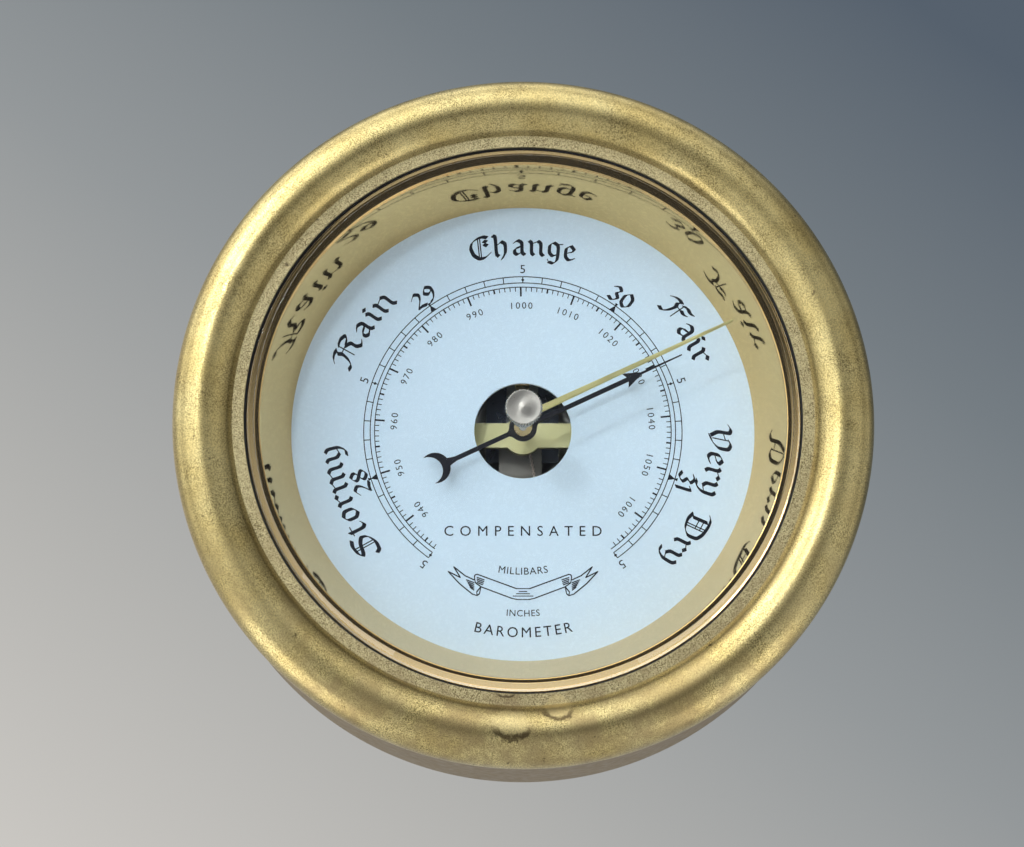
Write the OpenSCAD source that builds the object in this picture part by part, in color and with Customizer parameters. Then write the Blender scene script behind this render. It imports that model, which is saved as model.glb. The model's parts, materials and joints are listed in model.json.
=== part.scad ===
// Wall-hung aneroid barometer with a round brass case, an open centre dial and a visible movement.
// Hung upright: the dial faces -Y, +Z is up, and the origin is the centre of the flat back.
// Every piece is drawn with the dial's normal along its own +z, and hung() turns it upright.

/* [Case] */
// Radius of the case drum
drum_r = 73.1; // [73.1:0.1:88]
// Wall of the drum
drum_wall = 1; // [0.8:0.1:1.2]
// Height of the dial's face above the wall
dial_z = 29.5; // [29.5:0.5:40]
// Thickness of the back cover
cover_t = 1.2; // [1:0.1:1.6]
// Width of the inward rim that the back cover is screwed to
rim_w = 6; // [5:0.5:8]

/* [Bezel] */
// Radius of the bezel's half-round section
band_r = 6.6; // [6:0.1:8]
// How far the bezel's widest line stands outside the drum
band_proud = 1; // [0.8:0.1:1.5]
// Height of the bezel's widest line above the dial
band_h = 14.8; // [14:0.2:18]
// Sheet thickness of the bezel
bezel_wall = 0.9; // [0.7:0.1:1]
// Height of the flat lip above the dial
lip_h = 17.3; // [17:0.1:20]
// Width of the flat lip, from its bore to the half-round
lip_w = 2.5; // [2:0.1:4]
// Thickness of the flat lip
lip_t = 0.7; // [0.5:0.1:0.8]

/* [Glass] */
// Total thickness of the glass
glass_t = 3.4; // [3:0.1:5]
// Thickness of the glass at its clamped rim
glass_rim_t = 1.1; // [1:0.1:1.2]
// Width of the bevel
bevel_w = 1.3; // [1:0.1:3]
// Gap between the bevel's foot and the lip's bore
bevel_gap = 0.6; // [0.4:0.1:1]
// Thickness of the rubber gasket
gasket_t = 0.3; // [0.2:0.1:0.5]
// Radius of the hole for the setting stem
glass_hole_r = 3.1; // [2.6:0.1:4]

/* [Dial] */
// Radius of the dial that shows inside the reflector
dial_r = 50; // [44:0.5:50]
// Thickness of the dial plate
dial_t = 1; // [0.8:0.1:1.5]
// Radius of the hole that shows the movement
dial_hole_r = 10.5; // [9:0.5:13]
// Extra radius of the dial under the reflector
dial_margin = 2.5; // [2:0.1:4]
// Sheet thickness of the reflector and of the dial's seat ring
sheet_t = 0.6; // [0.5:0.1:0.8]
// Radius of the reflector under the glass
reflector_top_r = 56; // [53:0.5:56]

/* [Hands] */
// Pressure shown, in inches of mercury
reading = 30.4; // [27.5:0.05:31.5]
// Angle of the setting hand, clockwise from the top
set_angle = 65.6; // [-180:0.2:180]
// Length of the pointer from its centre to its tip
pointer_len = 38; // [30:0.5:40]
// Length of the pointer from its centre to the middle of its tail ring
pointer_tail = 18.8; // [14:0.2:22]
// Thickness of the pointer
pointer_t = 0.4; // [0.3:0.1:0.6]
// Length of the setting hand
set_len = 49.5; // [40:0.5:50]
// Radius of the knurled knob
knob_r = 3.93; // [3.9:0.01:6]
// Height of the knob
knob_h = 6.1; // [5:0.1:8]
// Number of ridges round the knob
knob_teeth = 40; // [24:1:60]

/* [Movement] */
// Radius of the movement's base plate
base_r = 38; // [38:0.5:44]
// Thickness of the base plate
base_t = 1.5; // [1.2:0.1:2]
// Room between the back cover and the base plate
base_gap = 2.8; // [2.6:0.1:4]
// Radius of the vacuum capsule
capsule_r = 21; // [16:0.5:21]
// Height of the vacuum capsule between its bosses
capsule_h = 5.4; // [4.8:0.1:5.6]
// Width of the mainspring
spring_w = 16; // [12:0.5:16]
// Thickness of the mainspring
spring_t = 1.2; // [1:0.1:1.3]
// Distance from the pointer's axis to the rocker shaft
rocker_y = 24; // [24:0.2:26]
// Length of the rocker's long arm, which pulls the chain
long_arm = 9; // [8:0.1:9.2]
// Length of the rocker's short arm, which the link drives
short_arm = 1.8; // [1.6:0.1:2.4]
// Radius of the chain drum
drum_pin_r = 0.9; // [0.8:0.05:1.2]
// Thickness of the chain
chain_t = 0.5; // [0.4:0.05:0.6]
// Width of the bridge over the movement
bridge_w = 5.4; // [4.6:0.1:7]
// Length of the bridge between its two screws
bridge_span = 54; // [54:1:62]
// Radius of the bridge's middle boss
boss_r = 4.2; // [3.8:0.1:5]
// Width of the steel cock under the bridge
cock_w = 9.4; // [8:0.1:9.6]
// Outer radius of the hairspring
hairspring_r = 4; // [3:0.1:4]
// Turns of the hairspring
hairspring_turns = 5; // [3:1:6]

/* [Hanging] */
// Height of the keyhole above the centre of the back
keyhole_y = 52; // [50:0.5:58]
// Radius of the keyhole's round entry
keyhole_r = 4.25; // [4:0.05:5]
// Width of the keyhole's slot
keyhole_slot = 4.4; // [4:0.1:5]
// Rise of the slot above the round entry
keyhole_rise = 7; // [6:0.5:8]

/* [Hidden] */
$fn = 96;

// Clearances: a running fit, a loose fit and a clear gap
run_gap = 0.05;
fit_gap = 0.1;
clear_gap = 0.3;
// Overlap that makes one cut pass right through another
eps = 0.5;

// Case heights and radii
shoulder_drop = 2.9;
neck_h = 2;
drum_in = drum_r - drum_wall;
neck_r = drum_r - drum_wall;
band_c = drum_r + band_proud - band_r;
band_z = dial_z + band_h;
shoulder_z = band_z - shoulder_drop;
neck_top_z = shoulder_z + neck_h;
lip_z = dial_z + lip_h;
lip_foot_z = lip_z - lip_t;
lip_r = band_c - sqrt(pow(band_r, 2) - pow(lip_z - band_z, 2)) - lip_w;

// Glass heights and radii
glass_under_lip = 3.1;
glass_rim_z = lip_foot_z - gasket_t;
glass_back_z = glass_rim_z - glass_rim_t;
glass_front_z = glass_back_z + glass_t;
glass_r = lip_r + glass_under_lip;
bevel_foot_r = lip_r - bevel_gap;

// Dial, reflector and seat
dial_out_r = dial_r + dial_margin;
dial_back_z = dial_z - dial_t;
seat_ledge = 2;
seat_step_drop = 0.2;
seat_step_z = dial_z - seat_step_drop;
seat_t = 0.8;
seat_skirt = 8;
seat_screw_drop = 5.5;
seat_screw_z = dial_z - seat_screw_drop;
seat_screw_r = 1.1;
seat_screw_len = 3.5;
seat_head_r = 1.9;
seat_head_top_r = 1.3;
seat_head_t = 0.9;

// Screws: countersunk in the back, pan heads inside, and small ones in the lever
cover_screw_r = 1.2;
cover_screw_at = drum_in - rim_w / 2;
base_screw_inset = 5;
base_screw_at = base_r - base_screw_inset;
base_screw_r = 1.25;
screw_head_z = 0.15;
screw_head_r = 2.4;
screw_head_t = 0.9;
screw_tail = 1.5;
pan_r = 2.1;
pan_t = 1.1;
post_screw_len = 3.5;
post_tap = 4;
lever_screw_r = 0.9;
lever_head_r = 1.6;
lever_head_t = 0.8;
slot_w = 0.6;
slot_d = 0.5;

// Back cover: vents, and the adjusting screw behind its hole
vent_r = 1.5;
vent_pitch = 8;
vent_y = -52;
adjuster_head_r = 2.6;
adjuster_r = 2;

// Movement heights
base_z = cover_t + base_gap;
base_top_z = base_z + base_t;
capsule_boss_r = 4;
capsule_boss_t = 0.7;
capsule_z = base_top_z + capsule_boss_t;
capsule_mid_z = capsule_z + capsule_h / 2;
capsule_top_z = capsule_z + capsule_h;
capsule_wall = 0.3;
capsule_seam = 1;
ripples = 4;
ripple_h = 0.45;
stud_r = 1.5;
post_foot_z = capsule_top_z + capsule_boss_t;
capsule_post_r = 1.2;
carrier_t = 1.8;
carrier_z = base_top_z;
carrier_top_z = carrier_z + carrier_t;
carrier_margin = 5;
carrier_half_w = spring_w / 2 + carrier_margin;
carrier_screw_out = 2.8;
carrier_screw_x = spring_w / 2 + carrier_screw_out;
leaf_low_z = carrier_top_z;
leaf_lift = 1.2;
leaf_up_z = post_foot_z + leaf_lift;
leaf_top_z = leaf_up_z + spring_t;
leaf_room = 3;
leaf_foot_y = capsule_r + leaf_room;
spring_screw_in = 3;
spring_screw_y = leaf_foot_y + spring_screw_in;
spring_screw_inset = 3.5;
spring_screw_x = spring_w / 2 - spring_screw_inset;
bend_z = (leaf_low_z + leaf_top_z) / 2;
bend_r = (leaf_top_z - leaf_low_z) / 2;
leaf_flat = 6;
bend_y = leaf_foot_y + leaf_flat;
adjuster_out = 4.5;
adjuster_y = bend_y + adjuster_out;
lever_t = 1;
lever_top_z = leaf_top_z + lever_t;
lever_w = 7;
lever_tip_w = 3;
lever_screw_ys = [9, 13];
post_nut_t = 0.6;
post_top_z = lever_top_z + post_nut_t;
link_y = rocker_y + short_arm;
link_pin_r = 0.3;
link_eye_r = 0.6;
link_pin_gap = 0.15;
link_pin_play = 0.25;
rocker_h = 6;
rocker_z = base_top_z + rocker_h;
link_top_z = leaf_top_z - link_eye_r - clear_gap;
cock_room = 1.4;
cock_z = lever_top_z + cock_room;
cock_t = 1.2;
cock_top_z = cock_z + cock_t;
cock_x = -0.5;
cock_post_out = 8;
cock_post_y = rocker_y + cock_post_out;
chain_z = rocker_z + long_arm;
chain_r = drum_pin_r + chain_t / 2;
chain_h = 0.9;
chain_end_x = 5.8;
chain_gap = 0.9;
bridge_t = 1.6;
bridge_drop = 5.6;
bridge_z = dial_back_z - bridge_drop;
bridge_top_z = bridge_z + bridge_t;
post_r = 2.5;
arm_t = 0.8;
shaft_r = 0.6;
shaft_half = 9.2;
ear_in = shaft_half + 0.4;
ear_t = 1.2;
pivot_screw_r = 1;
pivot_r = 0.4;

// Pointer arbor, hairspring and hands
arbor_low_r = 0.5;
arbor_r = 0.8;
arbor_step_drop = 0.6;
arbor_step_z = bridge_z - arbor_step_drop;
hairspring_drop = 1.1;
hairspring_z = bridge_z - hairspring_drop;
hairspring_h = 0.4;
hairspring_w = 0.14;
hairspring_in = 1.5;
pointer_lift = 2.8;
pointer_z = dial_z + pointer_lift;
pointer_hub_r = 3;
collet_r = 1.95;
middle_inch = 29.5;
inch_turn = 72;
pointer_angle = (reading - middle_inch) * inch_turn;
stem_r = 1.5;
bush_r = glass_hole_r - fit_gap;
bush_flange_r = 3.75;
bush_flange_t = 0.4;
bush_nut_t = 1;
knob_top_t = 1;
knob_z = glass_front_z + bush_flange_t + fit_gap;
set_hand_t = 0.5;
set_hand_gap = 0.2;
set_hand_z = glass_back_z - bush_nut_t - set_hand_gap - set_hand_t;
set_hub_r = 3.2;
washer_t = 0.4;
washer_r = 2.6;
set_nut_t = 1.2;
set_nut_r = 2.7;
stem_tail = 0.4;
stem_foot_z = set_hand_z - washer_t - set_nut_t - stem_tail;

// Turns a piece that is drawn with the dial's normal up into the hung position
module hung() {
    rotate([90, 0, 0])
        children();
}

// Round bar or disc between two heights
module disc(r, z0, z1) {
    translate([0, 0, z0])
        cylinder(h = z1 - z0, r = r);
}

// Tube between two radii and two heights
module tube(r_in, r_out, z0, z1) {
    difference() {
        disc(r_out, z0, z1);
        disc(r_in, z0 - eps, z1 + eps);
    }
}

// Block given by its lower corner and its upper corner
module block(low, high) {
    translate(low)
        cube(high - low);
}

// Puts the children at equal steps round the axis
module around(count, r, first = 90) {
    for (i = [0 : count - 1])
        rotate([0, 0, first + i * 360 / count])
            translate([r, 0, 0])
                children();
}

// Flat strip with round ends, from one point to another
module strip(from, to, w, z0, z1) {
    d = to - from;
    translate([from[0], from[1], z0]) {
        rotate([0, 0, atan2(d[1], d[0])])
            translate([0, -w / 2, 0])
                cube([norm(d), w, z1 - z0]);
        cylinder(h = z1 - z0, r = w / 2);
    }
    translate([to[0], to[1], z0])
        cylinder(h = z1 - z0, r = w / 2);
}

// Screw that stands on z0 with its slotted head above and its shank below
module screw(head_r, head_t, shank_r, shank_len, z0) {
    difference() {
        union() {
            disc(head_r, z0, z0 + head_t);
            disc(shank_r, z0 - shank_len, z0 + head_t / 2);
        }
        block([-head_r - eps, -slot_w / 2, z0 + head_t - slot_d],
            [head_r + eps, slot_w / 2, z0 + head_t + eps]);
    }
}

// Countersunk screw put in from the back, with its head just under the wall plane
module back_screw(shank_r, tip_z) {
    difference() {
        union() {
            translate([0, 0, screw_head_z])
                cylinder(h = screw_head_t, r1 = screw_head_r, r2 = shank_r);
            disc(shank_r, screw_head_z + screw_head_t / 2, tip_z);
        }
        block([-screw_head_r - eps, -slot_w / 2, -eps],
            [screw_head_r + eps, slot_w / 2, screw_head_z + slot_d]);
    }
}

// Countersunk hole for back_screw
module back_screw_hole(shank_r, z1) {
    disc(shank_r + fit_gap, -eps, z1);
    translate([0, 0, screw_head_z - eps])
        cylinder(h = eps, r = screw_head_r + fit_gap);
    translate([0, 0, screw_head_z])
        cylinder(h = screw_head_t, r1 = screw_head_r + fit_gap, r2 = shank_r + fit_gap);
}

// ---------------------------------------------------------------- case

// Spun drum: straight wall, inward rim at the back and a necked edge for the bezel
module case_drum() {
    color("darkgoldenrod") hung() difference() {
        rotate_extrude() polygon([
            [drum_r, 0],
            [drum_r, shoulder_z],
            [neck_r, shoulder_z],
            [neck_r, neck_top_z],
            [neck_r - drum_wall, neck_top_z],
            [neck_r - drum_wall, shoulder_z - drum_wall],
            [drum_in, shoulder_z - 2 * drum_wall],
            [drum_in, cover_t + drum_wall],
            [drum_in - rim_w, cover_t + drum_wall],
            [drum_in - rim_w, cover_t],
            [drum_in, cover_t],
            [drum_in, 0]]);
        around(4, cover_screw_at, 45)
            disc(cover_screw_r, -eps, cover_t + drum_wall + eps);
        around(3, 0)
            translate([0, 0, seat_screw_z])
                rotate([0, 90, 0])
                    disc(seat_screw_r + fit_gap, drum_in - eps, drum_r + eps);
    }
}

// Flat back that closes the drum, with the hanging keyhole, the adjuster's hole and vents
module back_cover() {
    color("goldenrod") hung() difference() {
        disc(drum_in - fit_gap, 0, cover_t);
        around(4, cover_screw_at, 45)
            back_screw_hole(cover_screw_r, cover_t + eps);
        around(3, base_screw_at, 30)
            back_screw_hole(base_screw_r, cover_t + eps);
        translate([0, adjuster_y, 0])
            disc(adjuster_head_r + clear_gap, -eps, cover_t + eps);
        translate([0, keyhole_y, 0])
            disc(keyhole_r, -eps, cover_t + eps);
        strip([0, keyhole_y], [0, keyhole_y + keyhole_rise], keyhole_slot, -eps, cover_t + eps);
        for (x = [-vent_pitch, 0, vent_pitch])
            translate([x, vent_y, 0])
                disc(vent_r, -eps, cover_t + eps);
    }
}

module cover_screws() {
    color("gold") hung() around(4, cover_screw_at, 45)
        back_screw(cover_screw_r, cover_t + drum_wall + screw_tail);
}

// Half-round spun bezel: open underneath, with a flat lip inside and a collar over the drum's neck
module bezel_ring() {
    collar_in = neck_r + fit_gap;
    color("darkkhaki") hung() rotate_extrude() {
        difference() {
            intersection() {
                translate([band_c, band_z])
                    circle(r = band_r);
                translate([band_c - band_r, shoulder_z])
                    square([2 * band_r, 2 * band_r]);
            }
            translate([band_c, band_z])
                circle(r = band_r - bezel_wall);
            translate([band_c - band_r - eps, shoulder_z - eps])
                square([band_r + eps, lip_foot_z - shoulder_z + eps]);
        }
        intersection() {
            translate([band_c, band_z])
                circle(r = band_r - bezel_wall / 2);
            translate([collar_in, shoulder_z])
                square([bezel_wall + band_proud, neck_top_z - shoulder_z]);
        }
        difference() {
            translate([lip_r, lip_foot_z])
                square([lip_w + bezel_wall, lip_t]);
            translate([band_c, band_z])
                circle(r = band_r - bezel_wall);
        }
    }
}

// ---------------------------------------------------------------- glass, reflector and dial

module glass_gasket() {
    color("black") hung()
        tube(lip_r - clear_gap, glass_r, glass_rim_z, lip_foot_z);
}

// Flat glass with a bevelled edge and a hole for the setting stem
module glass() {
    color("lightblue", 0.3) hung() rotate_extrude() polygon([
        [glass_hole_r, glass_back_z],
        [glass_r, glass_back_z],
        [glass_r, glass_rim_z],
        [bevel_foot_r, glass_rim_z],
        [bevel_foot_r - bevel_w, glass_front_z],
        [glass_hole_r, glass_front_z]]);
}

// Spun cone between the dial and the glass, with a flange that the glass lies on
module reflector_ring() {
    color("gold") hung() rotate_extrude() polygon([
        [dial_r, dial_z],
        [reflector_top_r, glass_back_z],
        [glass_r, glass_back_z],
        [glass_r, glass_back_z - sheet_t],
        [reflector_top_r + sheet_t, glass_back_z - sheet_t],
        [dial_r + sheet_t, dial_z]]);
}

// Joggled ring that carries the dial, with a skirt that is screwed to the drum
module dial_seat_ring() {
    seat_out = drum_in - fit_gap;
    step_r = dial_out_r + fit_gap;
    color("peru") hung() difference() {
        rotate_extrude() polygon([
            [dial_r - seat_ledge, dial_back_z],
            [step_r, dial_back_z],
            [step_r, seat_step_z],
            [seat_out, seat_step_z],
            [seat_out, seat_step_z - seat_skirt],
            [seat_out - seat_t, seat_step_z - seat_skirt],
            [seat_out - seat_t, seat_step_z - seat_t],
            [step_r + seat_t, seat_step_z - seat_t],
            [step_r + seat_t, dial_back_z - seat_t],
            [dial_r - seat_ledge, dial_back_z - seat_t]]);
        around(3, 0)
            translate([0, 0, seat_screw_z])
                rotate([0, 90, 0])
                    disc(seat_screw_r, seat_out - seat_t - eps, seat_out + eps);
    }
}

module seat_screws() {
    color("gold") hung() around(3, 0)
        translate([0, 0, seat_screw_z])
            rotate([0, 90, 0])
                difference() {
                    union() {
                        disc(seat_screw_r, drum_r - seat_screw_len, drum_r + seat_head_t / 2);
                        translate([0, 0, drum_r])
                            cylinder(h = seat_head_t, r1 = seat_head_r, r2 = seat_head_top_r);
                    }
                    block([-seat_head_r, -slot_w / 2, drum_r + seat_head_t - slot_d],
                        [seat_head_r, slot_w / 2, drum_r + seat_head_t + eps]);
                }
}

module dial() {
    color("aliceblue") hung()
        tube(dial_hole_r, dial_out_r, dial_back_z, dial_z);
}

// ---------------------------------------------------------------- setting hand

module glass_bush() {
    color("silver") hung() difference() {
        union() {
            disc(bush_flange_r, glass_front_z, glass_front_z + bush_flange_t);
            disc(bush_r, glass_back_z - bush_nut_t, glass_front_z + bush_flange_t / 2);
        }
        disc(stem_r + run_gap, 0, knob_z);
    }
}

module bush_nut() {
    nut_r = 4.6;
    color("silver") hung() difference() {
        translate([0, 0, glass_back_z - bush_nut_t])
            cylinder(h = bush_nut_t, r = nut_r, $fn = 6);
        disc(bush_r, 0, glass_back_z + eps);
    }
}

// Knurled knob: straight ridges, a bevelled rim and a sunk face with a small cone in its middle
module set_knob() {
    knob_top_z = knob_z + knob_h;
    ridge_r = PI * knob_r / knob_teeth / 2;
    body_r = knob_r - ridge_r;
    bevel = 0.4;
    rim = 0.6;
    face_z = knob_top_z - 0.2;
    cone_r = 1.1;
    ridge_end = 0.3;
    color("silver") hung() {
        rotate_extrude() polygon([
            [stem_r, knob_z],
            [body_r, knob_z],
            [body_r, knob_top_z - bevel],
            [body_r - bevel, knob_top_z],
            [body_r - bevel - rim, knob_top_z],
            [body_r - bevel - rim, face_z],
            [cone_r, face_z],
            [0, knob_top_z],
            [0, knob_top_z - knob_top_t],
            [stem_r, knob_top_z - knob_top_t]]);
        for (i = [0 : knob_teeth - 1])
            rotate([0, 0, i * 360 / knob_teeth])
                translate([body_r, 0, knob_z + ridge_end])
                    cylinder(h = knob_h - 2 * ridge_end, r = ridge_r, $fn = 16);
    }
}

module set_stem() {
    color("silver") hung()
        disc(stem_r, stem_foot_z, knob_z + knob_h - knob_top_t);
}

// Straight tapered needle on a round hub
module set_hand() {
    root_w = 1.5;
    tip_w = 0.6;
    color("gold") hung() rotate([0, 0, 90 - set_angle]) difference() {
        union() {
            disc(set_hub_r, set_hand_z, set_hand_z + set_hand_t);
            translate([0, 0, set_hand_z])
                linear_extrude(set_hand_t)
                    polygon([[0, -root_w / 2], [set_len, -tip_w / 2], [set_len, tip_w / 2], [0, root_w / 2]]);
        }
        disc(stem_r, 0, set_hand_z + set_hand_t + eps);
    }
}

module set_washer() {
    color("silver") hung()
        tube(stem_r, washer_r, set_hand_z - washer_t, set_hand_z);
}

module set_nut() {
    color("silver") hung() difference() {
        translate([0, 0, set_hand_z - washer_t - set_nut_t])
            cylinder(h = set_nut_t, r = set_nut_r, $fn = 6);
        disc(stem_r, 0, set_hand_z);
    }
}

// ---------------------------------------------------------------- movement frame

// Round plate with four windows round the capsule's seat
module base_plate() {
    window_r = 5;
    window_at = 13;
    color("goldenrod") hung() difference() {
        disc(base_r, base_z, base_top_z);
        around(4, window_at, 45)
            disc(window_r, base_z - eps, base_top_z + eps);
        disc(stud_r, base_z - eps, base_top_z + eps);
        around(3, base_screw_at, 30)
            disc(base_screw_r, base_z - eps, base_top_z + eps);
        translate([0, adjuster_y, 0])
            disc(adjuster_r + fit_gap, base_z - eps, base_top_z + eps);
    }
}

module base_spacers() {
    spacer_r = 3.5;
    color("goldenrod") hung() around(3, base_screw_at, 30)
        tube(base_screw_r + fit_gap, spacer_r, cover_t, base_z);
}

module base_screws() {
    short_of_face = 0.4;
    color("gold") hung() around(3, base_screw_at, 30)
        back_screw(base_screw_r, base_top_z - short_of_face);
}

// Steel cock under the bridge, held on one post, with the arbor's lower bearing
module lower_cock() {
    front_y = 3.5;
    color("dimgray") hung() difference() {
        block([cock_x - cock_w / 2, -cock_post_y - post_r, cock_z], [cock_x + cock_w / 2, front_y, cock_top_z]);
        disc(arbor_low_r + run_gap, cock_z - eps, cock_top_z + eps);
        translate([cock_x, -cock_post_y, 0])
            disc(base_screw_r, cock_z - eps, cock_top_z + eps);
    }
}

module cock_post() {
    color("goldenrod") hung() translate([cock_x, -cock_post_y, 0]) difference() {
        disc(post_r, base_top_z, cock_z);
        disc(base_screw_r, cock_z - post_tap, cock_z + eps);
    }
}

module cock_screw() {
    color("silver") hung() translate([cock_x, -cock_post_y, 0])
        screw(pan_r, pan_t, base_screw_r, post_screw_len, cock_top_z);
}

// Brass bar across the movement with a round boss for the arbor's upper bearing
module arbor_bridge() {
    color("gold") hung() difference() {
        union() {
            strip([-bridge_span / 2, 0], [bridge_span / 2, 0], bridge_w, bridge_z, bridge_top_z);
            disc(boss_r, bridge_z, bridge_top_z);
        }
        disc(arbor_r + run_gap, bridge_z - eps, bridge_top_z + eps);
        for (x = [-bridge_span / 2, bridge_span / 2])
            translate([x, 0, 0])
                disc(base_screw_r, bridge_z - eps, bridge_top_z + eps);
    }
}

module bridge_posts() {
    color("goldenrod") hung() for (x = [-bridge_span / 2, bridge_span / 2])
        translate([x, 0, 0]) difference() {
            disc(post_r, base_top_z, bridge_z);
            disc(base_screw_r, bridge_z - post_tap, bridge_z + eps);
        }
}

module bridge_screws() {
    color("silver") hung() for (x = [-bridge_span / 2, bridge_span / 2])
        translate([x, 0, 0])
            screw(pan_r, pan_t, base_screw_r, post_screw_len, bridge_top_z);
}

// ---------------------------------------------------------------- capsule and mainspring

// How far radius r lies across the corrugated sheet, from its boss (0) to its rim (1)
function across(r) = (r - capsule_boss_r) / (capsule_r - capsule_boss_r);
// Height of the sheet above the capsule's middle plane at radius r: a dome with ripples
function wave(r) = (capsule_h / 2 - capsule_wall) * (1 - pow(across(r), 6))
    - ripple_h * (1 - cos(360 * ripples * across(r))) / 2;

// One sheet of the capsule, drawn with its rim at z = 0 and its boss above
module capsule_half() {
    steps = 32;
    seam_r = capsule_r - capsule_seam;
    radii = [for (i = [0 : steps]) capsule_boss_r + (seam_r - capsule_boss_r) * i / steps];
    rotate_extrude() polygon(concat(
        [[0, wave(capsule_boss_r) + capsule_wall]],
        [for (r = radii) [r, wave(r) + capsule_wall]],
        [[seam_r, capsule_wall], [capsule_r, capsule_wall], [capsule_r, 0], [seam_r - capsule_wall, 0]],
        [for (i = [steps - 1 : -1 : 0]) [radii[i], wave(radii[i])]],
        [[0, wave(capsule_boss_r)]]));
}

module capsule_lower() {
    color("silver") hung() {
        translate([0, 0, capsule_mid_z])
            mirror([0, 0, 1])
                capsule_half();
        disc(capsule_boss_r, base_top_z, capsule_z + capsule_wall);
    }
}

module capsule_upper() {
    color("silver") hung() {
        translate([0, 0, capsule_mid_z])
            capsule_half();
        disc(capsule_boss_r, capsule_top_z - capsule_wall, post_foot_z);
    }
}

module capsule_stud() {
    tail = 2.2;
    color("goldenrod") hung()
        disc(stud_r, base_z - tail, base_top_z);
}

module capsule_nut() {
    nut_r = 3.2;
    nut_t = 1.6;
    color("gold") hung() difference() {
        translate([0, 0, base_z - nut_t])
            cylinder(h = nut_t, r = nut_r, $fn = 6);
        disc(stud_r, 0, base_z + eps);
    }
}

// Post that the mainspring lifts, with its nut above the lever
module capsule_post() {
    color("goldenrod") hung()
        disc(capsule_post_r, post_foot_z, post_top_z);
}

module post_nut() {
    nut_r = 2.4;
    color("gold") hung()
        tube(capsule_post_r, nut_r, lever_top_z + fit_gap, post_top_z);
}

// Iron plate that carries the mainspring, with a tongue that rests on the adjusting screw
module spring_carrier() {
    tongue_len = 4;
    tongue_y = adjuster_y - tongue_len;
    tongue_half_w = 4;
    tongue_end = 3.4;
    foot_lip = 0.5;
    color("dimgray") hung() difference() {
        union() {
            block([-carrier_half_w, leaf_foot_y - foot_lip, carrier_z], [carrier_half_w, tongue_y, carrier_top_z]);
            block([-tongue_half_w, tongue_y, carrier_z], [tongue_half_w, adjuster_y + tongue_end, carrier_top_z]);
        }
        for (x = [-carrier_screw_x, carrier_screw_x])
            translate([x, spring_screw_y, 0])
                disc(base_screw_r, carrier_z - eps, carrier_top_z + eps);
        translate([0, adjuster_y, 0])
            disc(adjuster_r + run_gap, carrier_z - eps, carrier_top_z + eps);
    }
}

module carrier_screws() {
    color("silver") hung() for (x = [-carrier_screw_x, carrier_screw_x])
        translate([x, spring_screw_y, 0])
            screw(pan_r, pan_t, base_screw_r, carrier_t, carrier_top_z);
}

// Slotted screw reached through the back cover, which tilts the carrier to set the pointer
module adjusting_screw() {
    head_z = 0.4;
    head_top_z = base_z - 1;
    slot_top_z = head_z + 0.8;
    color("gold") hung() translate([0, adjuster_y, 0]) difference() {
        union() {
            disc(adjuster_head_r, head_z, head_top_z);
            disc(adjuster_r, head_z + slot_d, carrier_top_z);
        }
        block([-adjuster_head_r - eps, -slot_w / 2, 0], [adjuster_head_r + eps, slot_w / 2, slot_top_z]);
    }
}

// C-shaped strip: a short foot on the carrier, a round bend and a long leaf over the capsule
module mainspring() {
    leaf_tip_y = -4;
    color("slategray") hung() difference() {
        union() {
            block([-spring_w / 2, leaf_foot_y, leaf_low_z], [spring_w / 2, bend_y, leaf_low_z + spring_t]);
            block([-spring_w / 2, leaf_tip_y, leaf_up_z], [spring_w / 2, bend_y, leaf_top_z]);
            intersection() {
                translate([0, bend_y, bend_z])
                    rotate([0, 90, 0])
                        tube(bend_r - spring_t, bend_r, -spring_w / 2, spring_w / 2);
                block([-spring_w, bend_y, leaf_low_z - eps], [spring_w, bend_y + 2 * bend_r, leaf_top_z + eps]);
            }
        }
        disc(capsule_post_r + clear_gap, leaf_up_z - eps, leaf_top_z + eps);
        for (x = [-spring_screw_x, spring_screw_x])
            translate([x, spring_screw_y, 0])
                disc(base_screw_r, leaf_low_z - eps, leaf_low_z + spring_t + eps);
        for (y = lever_screw_ys)
            translate([0, y, 0])
                disc(lever_screw_r, leaf_up_z - eps, leaf_top_z + eps);
    }
}

module mainspring_screws() {
    color("silver") hung() for (x = [-spring_screw_x, spring_screw_x])
        translate([x, spring_screw_y, 0])
            screw(pan_r, pan_t, base_screw_r, spring_t, leaf_low_z + spring_t);
}

// ---------------------------------------------------------------- lever, link and rocker

// Long lever on the mainspring's leaf, narrowing to a lug that the link hangs from
module main_lever() {
    lug_t = 1;
    lug_r = 0.8;
    back_y = 16;
    wide_y = -6;
    neck_y = -14;
    tip_end = 1.2;
    tip_y = -link_y - tip_end;
    wide = lever_w / 2;
    narrow = lever_tip_w / 2;
    color("silver") hung() difference() {
        union() {
            translate([0, 0, leaf_top_z])
                linear_extrude(lever_t)
                    polygon([[-wide, back_y], [-wide, wide_y], [-narrow, neck_y], [-narrow, tip_y],
                        [narrow, tip_y], [narrow, neck_y], [wide, wide_y], [wide, back_y]]);
            block([-lug_t / 2, -link_y - lug_r, link_top_z], [lug_t / 2, -link_y + lug_r, leaf_top_z + lever_t / 2]);
            translate([0, -link_y, link_top_z])
                rotate([0, 90, 0])
                    disc(lug_r, -lug_t / 2, lug_t / 2);
        }
        disc(capsule_post_r + clear_gap, leaf_top_z - eps, lever_top_z + eps);
        for (y = lever_screw_ys)
            translate([0, y, 0])
                disc(lever_screw_r, leaf_top_z - eps, lever_top_z + eps);
        translate([0, -link_y, link_top_z])
            rotate([0, 90, 0])
                disc(link_pin_r + link_pin_gap, -lug_t, lug_t);
    }
}

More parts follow.
